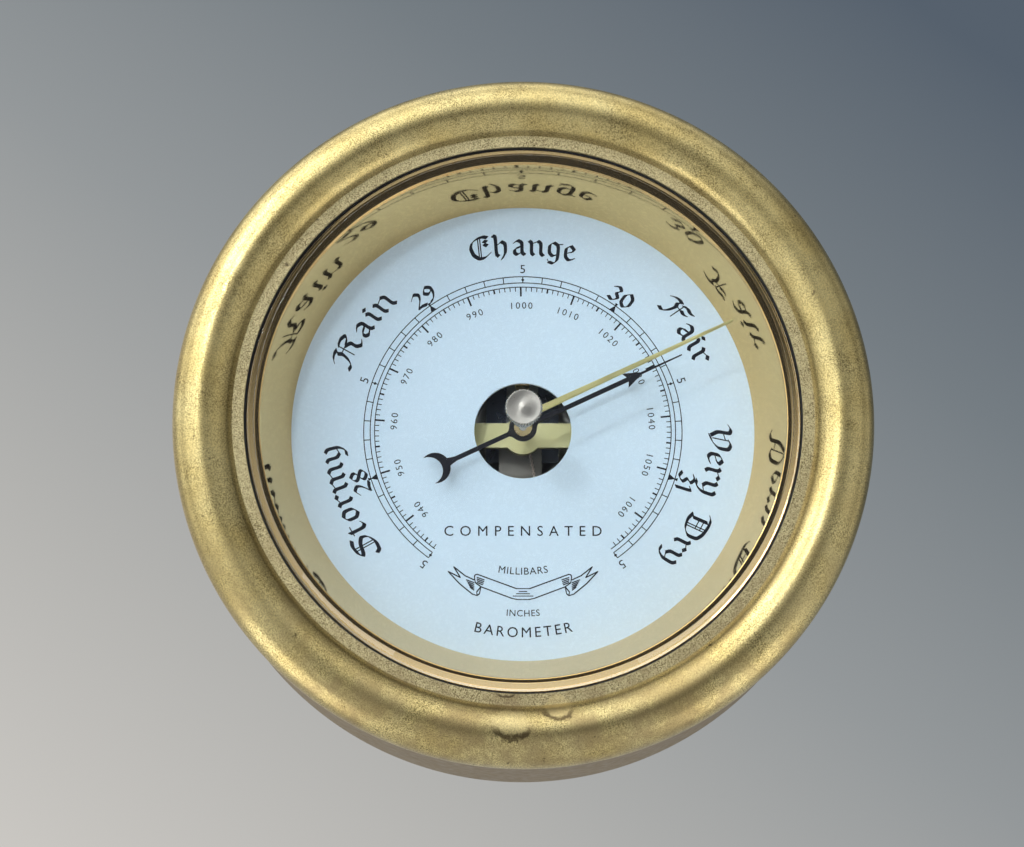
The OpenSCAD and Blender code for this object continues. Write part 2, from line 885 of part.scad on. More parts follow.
module lever_screws() {
    color("gold") hung() for (y = lever_screw_ys)
        translate([0, y, 0])
            screw(lever_head_r, lever_head_t, lever_screw_r, lever_t + spring_t, lever_top_z);
}

// Small link plate with a pin at each end
module link_rod() {
    link_x = 0.75;
    link_t = 0.4;
    half_w = 0.4;
    pin_x = -0.7;
    color("silver") hung() {
        block([link_x, -link_y - half_w, rocker_z], [link_x + link_t, -link_y + half_w, link_top_z]);
        for (z = [rocker_z, link_top_z])
            translate([0, -link_y, z])
                rotate([0, 90, 0]) {
                    disc(link_eye_r, link_x, link_x + link_t);
                    disc(link_pin_r, pin_x, link_x + link_t);
                }
    }
}

// U-shaped bracket with two round-topped ears for the rocker's pivot screws
module rocker_bracket() {
    ear_r = 2;
    near_y = rocker_y - ear_r;
    far_y = rocker_y + ear_r;
    color("goldenrod") hung() difference() {
        union() {
            block([-ear_in - ear_t, -far_y, base_top_z], [ear_in + ear_t, -near_y, base_top_z + ear_t]);
            for (x = [-ear_in - ear_t, ear_in]) {
                block([x, -far_y, base_top_z], [x + ear_t, -near_y, rocker_z]);
                translate([0, -rocker_y, rocker_z])
                    rotate([0, 90, 0])
                        disc(ear_r, x, x + ear_t);
            }
        }
        translate([0, -rocker_y, rocker_z])
            rotate([0, 90, 0])
                disc(pivot_screw_r, -ear_in - ear_t - eps, ear_in + ear_t + eps);
    }
}

// Pointed screws that the rocker shaft turns on
module rocker_pivots() {
    stick_out = 0.7;
    pivot_in = 0.8;
    color("silver") hung() for (side = [0, 1])
        mirror([side, 0, 0])
            translate([0, -rocker_y, rocker_z])
                rotate([0, 90, 0]) {
                    disc(pivot_screw_r, shaft_half + fit_gap, ear_in + ear_t + stick_out);
                    disc(pivot_r, shaft_half - pivot_in, shaft_half + clear_gap);
                }
}

// Thin shaft with a thicker end at each side, bored for the pivots
module rocker_shaft() {
    end_r = shaft_r + 0.3;
    end_len = 1.2;
    bore = 1;
    color("silver") hung() translate([0, -rocker_y, rocker_z]) rotate([0, 90, 0]) difference() {
        union() {
            disc(shaft_r, -shaft_half, shaft_half);
            disc(end_r, -shaft_half, end_len - shaft_half);
            disc(end_r, shaft_half - end_len, shaft_half);
        }
        disc(pivot_r + run_gap, -shaft_half - eps, bore - shaft_half);
        disc(pivot_r + run_gap, shaft_half - bore, shaft_half + eps);
    }
}

// Arm on the rocker shaft, drawn flat: a hub and a tapered blade along +x
module rocker_blade(len, hub_r, tip_r, t) {
    root = 0.9 * hub_r;
    translate([0, 0, -t / 2]) {
        cylinder(h = t, r = hub_r);
        translate([len, 0, 0])
            cylinder(h = t, r = tip_r);
        linear_extrude(t)
            polygon([[0, -root], [len, -tip_r], [len, tip_r], [0, root]]);
    }
}

module rocker_long_arm() {
    hub_r = 1.5;
    tip_r = 0.6;
    color("silver") hung() translate([chain_end_x, -rocker_y, rocker_z]) rotate([0, -90, 0]) difference() {
        rocker_blade(long_arm, hub_r, tip_r, arm_t);
        disc(shaft_r, -arm_t, arm_t);
    }
}

module rocker_short_arm() {
    hub_r = 1.4;
    tip_r = 1;
    blade_t = 1;
    color("silver") hung() translate([0, -rocker_y, rocker_z]) rotate([0, 90, 0]) rotate([0, 0, -90]) difference() {
        rocker_blade(short_arm, hub_r, tip_r, blade_t);
        disc(shaft_r, -blade_t, blade_t);
        translate([short_arm, 0, 0])
            disc(link_pin_r + link_pin_play, -blade_t, blade_t);
    }
}

// Balance weight: a short blade with a round bob
module rocker_weight() {
    hub_r = 1.3;
    neck_r = 0.9;
    drop = 2.6;
    bob_r = 1.4;
    bob_half_t = 0.9;
    weight_x = -6;
    color("gold") hung() translate([weight_x, -rocker_y, rocker_z]) rotate([0, 90, 0]) difference() {
        union() {
            rocker_blade(drop, hub_r, neck_r, arm_t);
            translate([drop, 0, 0])
                disc(bob_r, -bob_half_t, bob_half_t);
        }
        disc(shaft_r, -arm_t, arm_t);
    }
}

// Fine chain from the drum to the long arm: a band with a row of link pins
module chain() {
    start = [chain_r, 0];
    end = [chain_end_x - arm_t / 2 - chain_t / 2, chain_gap - rocker_y];
    run = end - start;
    pitch = 1;
    links = floor(norm(run) / pitch);
    color("silver") hung() translate([start[0], start[1], chain_z]) rotate([0, 0, atan2(run[1], run[0])]) {
        block([0.2, -chain_t / 4, -chain_h / 2], [norm(run), chain_t / 4, chain_h / 2]);
        for (i = [1 : links - 1])
            translate([i * pitch, 0, -chain_h / 2])
                cylinder(h = chain_h, r = chain_t / 2, $fn = 16);
    }
}

// ---------------------------------------------------------------- pointer and hairspring

module pointer_arbor() {
    tip = 0.6;
    color("silver") hung() {
        disc(arbor_low_r, cock_z, arbor_step_z);
        disc(arbor_r, arbor_step_z, pointer_z + pointer_t + tip);
    }
}

module chain_drum() {
    half_h = 1;
    flange_h = 0.9;
    flange_r = drum_pin_r + flange_h;
    flange_t = 0.3;
    color("gold") hung() difference() {
        union() {
            disc(drum_pin_r, chain_z - half_h, chain_z + half_h);
            disc(flange_r, chain_z - half_h, chain_z - half_h + flange_t);
            disc(flange_r, chain_z + half_h - flange_t, chain_z + half_h);
        }
        disc(arbor_low_r, chain_z - half_h - eps, chain_z + half_h + eps);
    }
}

module hairspring_collet() {
    collet_out_r = hairspring_in - hairspring_w / 2 - run_gap;
    foot = 0.1;
    color("gold") hung()
        tube(arbor_low_r, collet_out_r, hairspring_z - foot, hairspring_z + hairspring_h);
}

// Flat spiral from the collet to the stud
module hairspring() {
    per_turn = 32;
    steps = hairspring_turns * per_turn;
    function turn_r(i) = hairspring_in + (hairspring_r - hairspring_in) * i / steps;
    function at(i, r) = [r * cos(180 + (i - steps) * 360 / per_turn), r * sin(180 + (i - steps) * 360 / per_turn)];
    color("steelblue") hung() translate([0, 0, hairspring_z])
        linear_extrude(hairspring_h)
            polygon(concat(
                [for (i = [0 : steps]) at(i, turn_r(i) + hairspring_w / 2)],
                [for (i = [steps : -1 : 0]) at(i, turn_r(i) - hairspring_w / 2)]));
}

module hairspring_stud() {
    stud = 0.5;
    color("gold") hung() translate([-hairspring_r - hairspring_w / 2 - stud, 0, 0])
        disc(stud, hairspring_z, bridge_z);
}

module pointer_collet() {
    foot = 1.6;
    cap = 0.4;
    color("goldenrod") hung()
        tube(arbor_r, collet_r, pointer_z - foot, pointer_z + pointer_t + cap);
}

// Pointer: ring hub, shaft, swept-back arrowhead, thin tip and a crescent tail
module pointer() {
    shaft_w = 1;
    head_from = 24.4;
    head_to = 28.8;
    head_w = 3.4;
    head_notch = 1.3;
    tip_w = 0.5;
    tail_r = 3;
    bite_out = 1.1;
    bite_r = 2.25;
    lap = 1;
    color("black") hung() rotate([0, 0, 90 - pointer_angle]) translate([0, 0, pointer_z]) linear_extrude(pointer_t)
        difference() {
            union() {
                circle(r = pointer_hub_r);
                translate([-pointer_tail + tail_r - lap, -shaft_w / 2])
                    square([pointer_tail - tail_r + head_to, shaft_w]);
                polygon([[head_to, 0], [head_from, head_w / 2], [head_from + head_notch, 0], [head_from, -head_w / 2]]);
                translate([head_to - lap, -tip_w / 2])
                    square([pointer_len - head_to + lap, tip_w]);
                difference() {
                    translate([-pointer_tail, 0])
                        circle(r = tail_r);
                    translate([-pointer_tail - bite_out, 0])
                        circle(r = bite_r);
                }
            }
            circle(r = collet_r);
        }
}

case_drum();
back_cover();
cover_screws();
bezel_ring();
glass_gasket();
glass();
reflector_ring();
dial_seat_ring();
seat_screws();
dial();
glass_bush();
bush_nut();
set_knob();
set_stem();
set_hand();
set_washer();
set_nut();
base_plate();
base_spacers();
base_screws();
capsule_lower();
capsule_upper();
capsule_stud();
capsule_nut();
capsule_post();
post_nut();
spring_carrier();
carrier_screws();
adjusting_screw();
mainspring();
mainspring_screws();
main_lever();
lever_screws();
link_rod();
rocker_bracket();
rocker_pivots();
rocker_shaft();
rocker_long_arm();
rocker_short_arm();
rocker_weight();
chain();
lower_cock();
cock_post();
cock_screw();
arbor_bridge();
bridge_posts();
bridge_screws();
pointer_arbor();
chain_drum();
hairspring_collet();
hairspring();
hairspring_stud();
pointer_collet();
pointer();
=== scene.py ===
"""Aneroid barometer: the looks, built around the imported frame.

Places are given as the part is designed: x to the right, y up the dial and h above the wall, in
millimetres. place() turns them into the frame's metres, with the dial facing -Y and +Z up.
"""
import json
import math

import bmesh
import bpy
from mathutils import Matrix, Vector
from mathutils.geometry import delaunay_2d_cdt


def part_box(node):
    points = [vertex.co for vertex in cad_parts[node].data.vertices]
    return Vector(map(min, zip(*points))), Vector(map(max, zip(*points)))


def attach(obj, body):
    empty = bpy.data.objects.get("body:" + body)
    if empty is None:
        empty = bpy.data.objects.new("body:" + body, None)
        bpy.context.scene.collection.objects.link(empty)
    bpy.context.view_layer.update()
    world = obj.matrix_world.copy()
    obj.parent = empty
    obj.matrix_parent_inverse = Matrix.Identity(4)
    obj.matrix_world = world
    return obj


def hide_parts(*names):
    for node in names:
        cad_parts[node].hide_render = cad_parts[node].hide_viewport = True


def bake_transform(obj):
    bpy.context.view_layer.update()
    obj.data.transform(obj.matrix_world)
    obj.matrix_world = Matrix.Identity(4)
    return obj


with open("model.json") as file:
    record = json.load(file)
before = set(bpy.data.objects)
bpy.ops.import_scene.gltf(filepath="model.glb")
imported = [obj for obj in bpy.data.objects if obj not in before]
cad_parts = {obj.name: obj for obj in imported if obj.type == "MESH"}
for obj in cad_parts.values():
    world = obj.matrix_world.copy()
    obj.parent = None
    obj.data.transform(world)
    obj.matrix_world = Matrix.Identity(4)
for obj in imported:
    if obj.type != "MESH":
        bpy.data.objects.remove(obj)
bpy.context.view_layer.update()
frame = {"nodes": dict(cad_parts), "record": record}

MM = 0.001


def top_of(node):
    """Height of a node's front face above the wall, in millimetres."""
    return -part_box(node)[0].y / MM


def foot_of(node):
    """Height of a node's back face above the wall, in millimetres."""
    return -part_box(node)[1].y / MM


def radius_of(node):
    """Outer radius of a round node, in millimetres."""
    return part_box(node)[1].x / MM


# ------------------------------------------------------------------ sizes

DIAL_TOP = top_of("dial")
DIAL_FOOT = foot_of("dial")
DIAL_OUT_R = radius_of("dial")
DIAL_R = 50
HOLE_R = 10.5
DRUM_R = radius_of("case_drum")
DRUM_WALL = 1
DRUM_TOP = top_of("case_drum")
COVER_T = top_of("back_cover")
RIM_W = 6
SHOULDER_H = foot_of("bezel_ring")
BAND_R = 6.6
BAND_C = radius_of("bezel_ring") - BAND_R
BAND_H = top_of("bezel_ring") - BAND_R
SHEET_T = 0.9
LIP_W = 2.5
LIP_T = 0.7
LIP_H = top_of("glass_gasket") + LIP_T
GLASS_R = radius_of("glass")
GLASS_FOOT = foot_of("glass")
GLASS_TOP = top_of("glass")
GLASS_RIM = GLASS_FOOT + 1.1
GLASS_HOLE_R = 2.25
BEVEL_W = 1.3
BEVEL_GAP = 0.6
REFLECTOR_TOP_R = 56
REFLECTOR_T = 0.6
POINTER_FOOT = foot_of("pointer")
POINTER_TOP = top_of("pointer")
POINTER_ANGLE = 64.8
SET_ANGLE = 65.6
# The setting hand lies a little further anticlockwise in the photo than in the frame
SET_LEAN = 1.0
INCH_TURN = 72
MIDDLE_INCH = 29.5

# Camera: it stands below the dial's axis and looks up at it. Distance and aim are in millimetres
CAMERA_DISTANCE = 600
CAMERA_TILT = 12.0
CAMERA_TURN = -0.5
CAMERA_AIM = (-2.35, 1.78)
CAMERA_LENS = 97.4

# Stage, in metres
FLOOR_Z = -0.6
STAGE_HALF = 3
BACKDROP_Y = 2

# Stains near the bottom of the bezel: middle x and z, half width and half height, how much they are rubbed
STAINS = (
    (-2.6, -65.2, 4.8, 3.8, 0.3),
    (-3.6, -58.4, 2.2, 1.4, 0.0),
    (7.0, -61.6, 3.6, 3.4, 0.35),
)

# Studio light: in front, in a ring round the front, at the sides and behind
MIRROR_LIGHT = (0.05, 0.055, 0.065)
FRONT_LIGHT = (1.08, 1.16, 1.26)
RING_LIGHT = (2.55, 2.62, 2.68)
SIDE_LIGHT = (0.95, 0.97, 1.00)
BACK_LIGHT = (0.45, 0.47, 0.50)
# How bright the surround is round the dial's axis, every 45 degrees from straight down through the left
PATCHES = (0.20, 0.85, 0.62, 0.90, 0.80, 0.15, 0.30, 0.75, 0.20)
# Lamps: angle off the axis, angle round it from the top, distance and size in metres, power in watts
SOFTBOXES = {
    "upper_left": (64, 315, 1.1, (0.45, 0.50), 2.8),
    "lower_left": (82, 228, 0.6, (0.30, 0.45), 0.85),
    "lower_right": (78, 135, 0.6, (0.30, 0.50), 0.7),
}
SPOT_PLACE = (30, 315)
SPOT_DISTANCE = 1.2
SPOT_RADIUS = 0.052
SPOT_POWER = 54

TURN_STEPS = 384


def place(x, y, h):
    """Frame position of a design position."""
    return Vector((x * MM, -h * MM, y * MM))


def on_dial(r, angle):
    """Design x and y at a radius and an angle, clockwise from the top."""
    a = math.radians(angle)
    return (r * math.sin(a), r * math.cos(a))


# ------------------------------------------------------------------ materials


class Nodes:
    """A node tree that is put together step by step."""

    def __init__(self, tree):
        self.tree = tree

    def set(self, node, sockets):
        """Gives a node's sockets values or links, by name or number."""
        for key, value in sockets.items():
            socket = node.inputs[key.replace("_", " ") if isinstance(key, str) else key]
            if isinstance(value, bpy.types.NodeSocket):
                self.tree.links.new(value, socket)
            elif isinstance(value, (tuple, list)) and len(value) == 3 and socket.type == "RGBA":
                socket.default_value = (*value, 1)
            else:
                socket.default_value = value

    def node(self, kind, out=0, props=(), **sockets):
        """Adds a node and returns one of its outputs, if it has any."""
        node = self.tree.nodes.new(kind)
        for key, value in dict(props).items():
            setattr(node, key, value)
        self.set(node, sockets)
        return None if out is None else node.outputs[out]

    def ramp(self, value, *stops, ease="LINEAR"):
        """Maps a value through (position, grey or colour) stops."""
        node = self.tree.nodes.new("ShaderNodeValToRGB")
        node.color_ramp.interpolation = ease
        while len(node.color_ramp.elements) < len(stops):
            node.color_ramp.elements.new(0.5)
        for element, (position, colour) in zip(node.color_ramp.elements, stops):
            element.position = position
            element.color = (*colour, 1) if isinstance(colour, tuple) else (colour, colour, colour, 1)
        self.set(node, {"Fac": value})
        return node.outputs["Color"]

    def calc(self, kind, a, b=0.0):
        """Arithmetic on two values."""
        node = self.tree.nodes.new("ShaderNodeMath")
        node.operation = kind
        self.set(node, {0: a, 1: b})
        return node.outputs[0]

    def mix(self, share, a, b, blend="MIX"):
        """Colour a where share is 0 and colour b where it is 1."""
        node = self.tree.nodes.new("ShaderNodeMix")
        node.data_type = "RGBA"
        node.blend_type = blend
        self.set(node, {0: share, 6: a, 7: b})
        return node.outputs[2]


class Finish(Nodes):
    """The looks of a surface."""

    def __init__(self, name, **sockets):
        self.material = bpy.data.materials.new(name)
        self.material.use_nodes = True
        super().__init__(self.material.node_tree)
        self.shader = self.tree.nodes["Principled BSDF"]
        self.where = self.tree.nodes.new("ShaderNodeTexCoord").outputs["Object"]
        self.set(self.shader, sockets)

    def use(self, **sockets):
        """Sets the surface shader's own sockets."""
        self.set(self.shader, sockets)

    def noise(self, scale, detail=2, rough=0.5):
        """Noise with about `scale` features to the metre."""
        return self.node("ShaderNodeTexNoise", Vector=self.where, Scale=scale, Detail=detail, Roughness=rough)

    def bump(self, height, depth, strength=1.0, after=None):
        """Roughens the surface: depth in millimetres."""
        sockets = {"Height": height, "Distance": depth * MM, "Strength": strength}
        if after:
            sockets["Normal"] = after
        return self.node("ShaderNodeBump", **sockets)

    def along(self, axis):
        """The object coordinate along one axis, in metres."""
        node = self.tree.nodes.new("ShaderNodeSeparateXYZ")
        self.tree.links.new(self.where, node.inputs[0])
        return node.outputs["XYZ".index(axis)]


def aged_brass():
    """Tarnished brass: a grain of fine dark specks, browner clouds, pits, and stains near the bottom."""
    f = Finish("aged_brass", Metallic=1.0)
    x, z = f.along("X"), f.along("Z")

    def length(a, b):
        return f.calc("SQRT", f.calc("ADD", f.calc("MULTIPLY", a, a), f.calc("MULTIPLY", b, b)))

    # The lip inside a radius of about 62 mm is duller; the radius is in tenths of a metre here
    lip = f.ramp(f.calc("MULTIPLY", length(x, z), 10.0), (0.612, 1.0), (0.622, 0.0))
    low = f.ramp(f.calc("MULTIPLY", z, -5.0), (0.0, 0.0), (0.33, 1.0))
    fine = f.noise(7000, 2, 0.8)
    coarse = f.noise(3200, 3, 0.8)
    clouds = f.noise(150, 4, 0.65)
    both = f.calc("ADD", f.calc("MULTIPLY", fine, 0.55), f.calc("MULTIPLY", coarse, 0.45))
    grain = f.ramp(both, (0.45, 1.0), (0.53, 0.0))
    worn = f.ramp(clouds, (0.36, 1.0), (0.64, 0.55))
    broad = f.ramp(f.noise(70, 3, 0.6), (0.35, 0.0), (0.65, 1.0))
    tone = f.mix(broad, (0.62, 0.48, 0.19), (0.74, 0.61, 0.28))
    tone = f.mix(f.calc("MULTIPLY", lip, 0.6), tone, (0.58, 0.52, 0.34))
    skin = f.mix(f.calc("MULTIPLY", grain, worn), tone, (0.11, 0.08, 0.03))
    tarnish = f.calc("MULTIPLY", low, f.ramp(clouds, (0.42, 0.0), (0.62, 1.0)))
    skin = f.mix(f.calc("MULTIPLY", tarnish, 0.6), skin, (0.20, 0.14, 0.07))
    ragged = f.calc("MULTIPLY", f.noise(500, 3, 0.7), 0.8)
    crust = 0.0
    for x0, z0, half_x, half_z, rubbed in STAINS:
        across = f.calc("MULTIPLY", f.calc("SUBTRACT", x, x0 * MM), 1 / (half_x * MM))
        upward = f.calc("MULTIPLY", f.calc("SUBTRACT", z, z0 * MM), 1 / (half_z * MM))
        # Half the distance from the stain's middle, where its edge is at about 0.6
        off = f.calc("MULTIPLY", f.calc("ADD", length(across, upward), ragged), 0.5)
        skin = f.mix(f.ramp(off, (0.55, rubbed), (0.62, 0.0)), skin, (0.72, 0.58, 0.28))
        below = f.ramp(f.calc("MULTIPLY", upward, -1.0), (0.1, 0.0), (0.6, 1.0))
        rim = f.ramp(off, (0.50, 0.0), (0.57, 1.0), (0.66, 1.0), (0.72, 0.0))
        crust = f.calc("MAXIMUM", crust, f.calc("MULTIPLY", rim, below))
    pits = f.ramp(f.noise(420, 3, 0.65), (0.69, 0.0), (0.73, 1.0))
    dark = f.calc("MAXIMUM", f.calc("MULTIPLY", pits, 0.7), f.calc("MULTIPLY", crust, 0.8))
    f.use(Base_Color=f.mix(dark, skin, (0.06, 0.04, 0.02)))
    satin = f.ramp(grain, (0.0, 0.30), (1.0, 0.48))
    f.use(Roughness=f.calc("ADD", satin, f.calc("MULTIPLY", lip, 0.22)))
    fine_skin = f.bump(fine, 0.008, 0.25)
    f.use(Normal=f.bump(coarse, 0.010, 0.25, fine_skin))
    return f.material


def simple_metal(name, colour, rough, grain=400, wear=0.12):
    """Machined metal: fine turned or rolled marks, a little uneven in tone and polish."""
    f = Finish(name, Metallic=1.0)
    dark = tuple(c * (1 - wear) for c in colour)
    uneven = 0.06
    f.use(Base_Color=f.mix(f.noise(grain * 0.4, 3), dark, colour) if wear else colour)
    f.use(Roughness=f.ramp(f.noise(grain, 3), (0.3, rough - uneven), (0.7, rough + uneven)))
    f.use(Normal=f.bump(f.noise(grain * 6, 2), 0.004, 0.3))
    return f.material


def mirror_brass():
    """Polished brass, slightly wavy."""
    f = Finish("mirror_brass", Metallic=1.0)
    f.use(Base_Color=f.mix(f.noise(70, 2), (0.73, 0.49, 0.20), (0.80, 0.55, 0.24)))
    f.use(Roughness=f.ramp(f.noise(900, 2), (0.3, 0.03), (0.8, 0.09)))
    f.use(Normal=f.bump(f.noise(60, 2), 0.03, 0.3))
    return f.material


def dial_white():
    """Glossy white enamel, tinted pale blue as a painted cast of the sky's light."""
    f = Finish("white_dial", Specular_IOR_Level=0.4)
    # The blue in the enamel's colour is a painted cast of the sky's light
    f.use(Base_Color=f.mix(f.noise(30, 2), (0.66, 0.82, 0.95), (0.70, 0.86, 0.98)))
    f.use(Roughness=f.ramp(f.noise(1500, 2), (0.3, 0.22), (0.7, 0.3)))
    return f.material


def print_black():
    """Matt ink."""
    f = Finish("dial_print", Roughness=0.45, Specular_IOR_Level=0.1)
    f.use(Base_Color=f.mix(f.noise(800, 2), (0.008, 0.010, 0.016), (0.02, 0.022, 0.03)))
    return f.material


def pointer_black():
    """Black paint, fairly glossy."""
    f = Finish("black_paint", Specular_IOR_Level=0.2)
    f.use(Base_Color=f.mix(f.noise(900, 2), (0.006, 0.006, 0.009), (0.02, 0.02, 0.026)))
    f.use(Roughness=f.ramp(f.noise(1200, 2), (0.3, 0.3), (0.7, 0.42)))
    return f.material


def rubber():
    """Dull gasket."""
    f = Finish("black_rubber", Roughness=0.8)
    f.use(Base_Color=f.mix(f.noise(1500, 2), (0.008, 0.008, 0.008), (0.02, 0.02, 0.02)))
    return f.material


def clear_glass():
    """Clear glass that lets the lamps' light through to what lies under it."""
    f = Finish("clear_glass", Base_Color=(0.97, 0.99, 1.0), Roughness=0.0, IOR=1.5)
    f.shader.inputs["Transmission Weight"].default_value = 1.0
    tree = f.tree
    clear = tree.nodes.new("ShaderNodeBsdfTransparent")
    clear.inputs["Color"].default_value = (0.95, 0.97, 0.98, 1)
    path = tree.nodes.new("ShaderNodeLightPath")
    both = tree.nodes.new("ShaderNodeMixShader")
    tree.links.new(path.outputs["Is Shadow Ray"], both.inputs[0])
    tree.links.new(f.shader.outputs[0], both.inputs[1])
    tree.links.new(clear.outputs[0], both.inputs[2])
    tree.links.new(both.outputs[0], tree.nodes["Material Output"].inputs["Surface"])
    return f.material


def turned_nickel():
    """Worn nickel with a turned sheen and small brown pits."""
    f = Finish("turned_nickel", Metallic=1.0, Anisotropic=0.75)
    f.use(Tangent=f.node("ShaderNodeTangent", props={"direction_type": "RADIAL", "axis": "Y"}))
    pits = f.ramp(f.noise(1900, 2, 0.6), (0.70, 0.0), (0.74, 1.0))
    tone = f.mix(f.noise(900, 3), (0.36, 0.35, 0.31), (0.46, 0.44, 0.40))
    f.use(Base_Color=f.mix(f.calc("MULTIPLY", pits, 0.6), tone, (0.16, 0.11, 0.07)))
    f.use(Roughness=f.ramp(f.noise(2500, 2), (0.3, 0.34), (0.7, 0.52)))
    f.use(Normal=f.bump(f.noise(3500, 2), 0.02, 0.4))
    return f.material


# Plain metals: colour, roughness, and where they differ the scale of the marks and the wear
METALS = {
    "cover_brass": ((0.55, 0.43, 0.22), 0.4),
    "bright_brass": ((0.85, 0.68, 0.36), 0.25),
    # The drum's brass is much darker than the other brass: painted shade on the band of drum that shows under
    # the bezel
    "drum_brass_painted_shade": ((0.22, 0.15, 0.06), 0.45, 600, 0.3),
    "bridge_brass": ((0.74, 0.70, 0.39), 0.58, 200, 0.06),
    "cock_iron": ((0.40, 0.37, 0.33), 0.58, 300),
    "needle_brass": ((0.84, 0.76, 0.35), 0.34, 200, 0.0),
    "chain_metal": ((1.0, 0.86, 0.78), 0.5),
    "plain_brass": ((0.62, 0.49, 0.25), 0.35),
    "nickel": ((0.60, 0.58, 0.55), 0.3, 700),
    "capsule_metal": ((0.62, 0.60, 0.55), 0.35),
    "dark_iron": ((0.16, 0.14, 0.13), 0.45),
    "spring_steel": ((0.22, 0.24, 0.30), 0.3),
    "bright_steel": ((0.62, 0.61, 0.59), 0.3),
}
FINISHES = {name: simple_metal(name, *looks) for name, looks in METALS.items()}
FINISHES |= {
    "turned_nickel": turned_nickel(),
    "aged_brass": aged_brass(),
    "mirror_brass": mirror_brass(),
    "clear_glass": clear_glass(),
    "black_rubber": rubber(),
    "white_dial": dial_white(),
    "black_paint": pointer_black(),
}
PRINT = print_black()

# Nodes of the frame whose looks differ from the rest of their material slot
OWN_FINISH = {"arbor_bridge": "bridge_brass", "lower_cock": "cock_iron"}
for row in frame["record"]["subparts"]:
    node = frame["nodes"][row["node"]]
    for held in node.material_slots:
        held.link = "OBJECT"
        held.material = FINISHES[OWN_FINISH.get(row["node"], row["material_slot"])]


# ------------------------------------------------------------------ mesh tools


def finish_piece(bm, name, finish, body, replaces=(), sharp=30):
    """Turns a bmesh in design millimetres into a piece that rides on a body."""
    for vert in bm.verts:
        vert.co = place(*vert.co)
    bmesh.ops.recalc_face_normals(bm, faces=bm.faces)
    mesh = bpy.data.meshes.new(name)
    bm.to_mesh(mesh)
    bm.free()
    mesh.materials.append(finish)
    mesh.polygons.foreach_set("use_smooth", [True] * len(mesh.polygons))
    mesh.set_sharp_from_angle(angle=math.radians(sharp))
    piece = bpy.data.objects.new(name, mesh)
    bpy.context.scene.collection.objects.link(piece)
    even_shading(piece)
    if body:
        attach(piece, body)
    if replaces:
        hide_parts(*replaces)
    return piece


def even_shading(piece):
    """Lets broad faces keep their own flat shading beside narrow rounded edges."""
    weighted = piece.modifiers.new("even", "WEIGHTED_NORMAL")
    weighted.keep_sharp = True
    weighted.weight = 100
    graph = bpy.context.evaluated_depsgraph_get()
    mesh = bpy.data.meshes.new_from_object(piece.evaluated_get(graph))
    piece.modifiers.clear()
    plain, piece.data = piece.data, mesh
    mesh.name = piece.name
    bpy.data.meshes.remove(plain)


def soften(outline, radius, steps=3):
    """Closed outline with its corners rounded off."""
    out = []
    for i, point in enumerate(outline):
        here, before, after = Vector(point), Vector(outline[i - 1]), Vector(outline[(i + 1) % len(outline)])
        back, on = before - here, after - here
        reach = min(radius, 0.45 * back.length, 0.45 * on.length)
        first, last = here + back.normalized() * reach, here + on.normalized() * reach
        for k in range(steps + 1):
            t = k / steps
            out.append(tuple(first * (1 - t) ** 2 + here * 2 * t * (1 - t) + last * t * t))
    return out


def arc(cx, cy, r, start, end, steps):
    """Points round a centre, between two angles in degrees."""
    angles = [math.radians(start + (end - start) * k / steps) for k in range(steps + 1)]
    return [(cx + r * math.cos(a), cy + r * math.sin(a)) for a in angles]


def turned(bm, outline, steps=TURN_STEPS):
    """Adds a closed outline of (radius, height) points, turned round the dial's axis."""
    rings = []
    for i in range(steps):
        a = 2 * math.pi * i / steps
        rings.append([bm.verts.new((r * math.cos(a), r * math.sin(a), h)) for r, h in outline])
    n = len(outline)
    for i, ring in enumerate(rings):
        following = rings[(i + 1) % steps]
        for j in range(n):
            k = (j + 1) % n
            bm.faces.new((ring[j], ring[k], following[k], following[j]))
    bmesh.ops.remove_doubles(bm, verts=bm.verts, dist=1e-5)
    return bm


def lathe(name, outline, finish, body="root", replaces=(), sharp=30, steps=TURN_STEPS):
    """One turned piece."""
    return finish_piece(turned(bmesh.new(), outline, steps=steps), name, finish, body, replaces, sharp)


def hull(points):
    """Convex outline round some points."""
    points = sorted(set(points))

    def half(run):
        out = []
        for p in run:
            while len(out) > 1 and ((out[-1][0] - out[-2][0]) * (p[1] - out[-2][1])
                                    - (out[-1][1] - out[-2][1]) * (p[0] - out[-2][0])) <= 1e-12:
                out.pop()
            out.append(p)
        return out[:-1]

    return half(points) + half(points[::-1])


def slab(bm, shapes, foot, top, bend=lambda x, y: (x, y)):
    """Adds one flat plate between two heights, whose outline is all the shapes together."""
    verts, faces = [], []
    for shape in shapes:
        area = sum(a[0] * b[1] - a[1] * b[0] for a, b in zip(shape, [*shape[1:], shape[0]]))
        faces.append(list(range(len(verts), len(verts) + len(shape))))
        verts += [Vector(p) for p in (shape if area > 0 else reversed(shape))]
    flat, _, tris, _, _, owners = delaunay_2d_cdt(verts, [], faces, 0, 1e-5)
    tris = [t for t, owner in zip(tris, owners) if owner]
    used = sorted({v for t in tris for v in t})
    low = {v: bm.verts.new((*bend(*flat[v]), foot)) for v in used}
    high = {v: bm.verts.new((*bend(*flat[v]), top)) for v in used}
    edges = {}
    for t in tris:
        bm.faces.new([high[v] for v in t])
        bm.faces.new([low[v] for v in reversed(t)])
        for a, b in zip(t, t[1:] + t[:1]):
            edges[(a, b)] = True
    for a, b in edges:
        if (b, a) not in edges:
            bm.faces.new((high[b], high[a], low[a], low[b]))


# ------------------------------------------------------------------ case


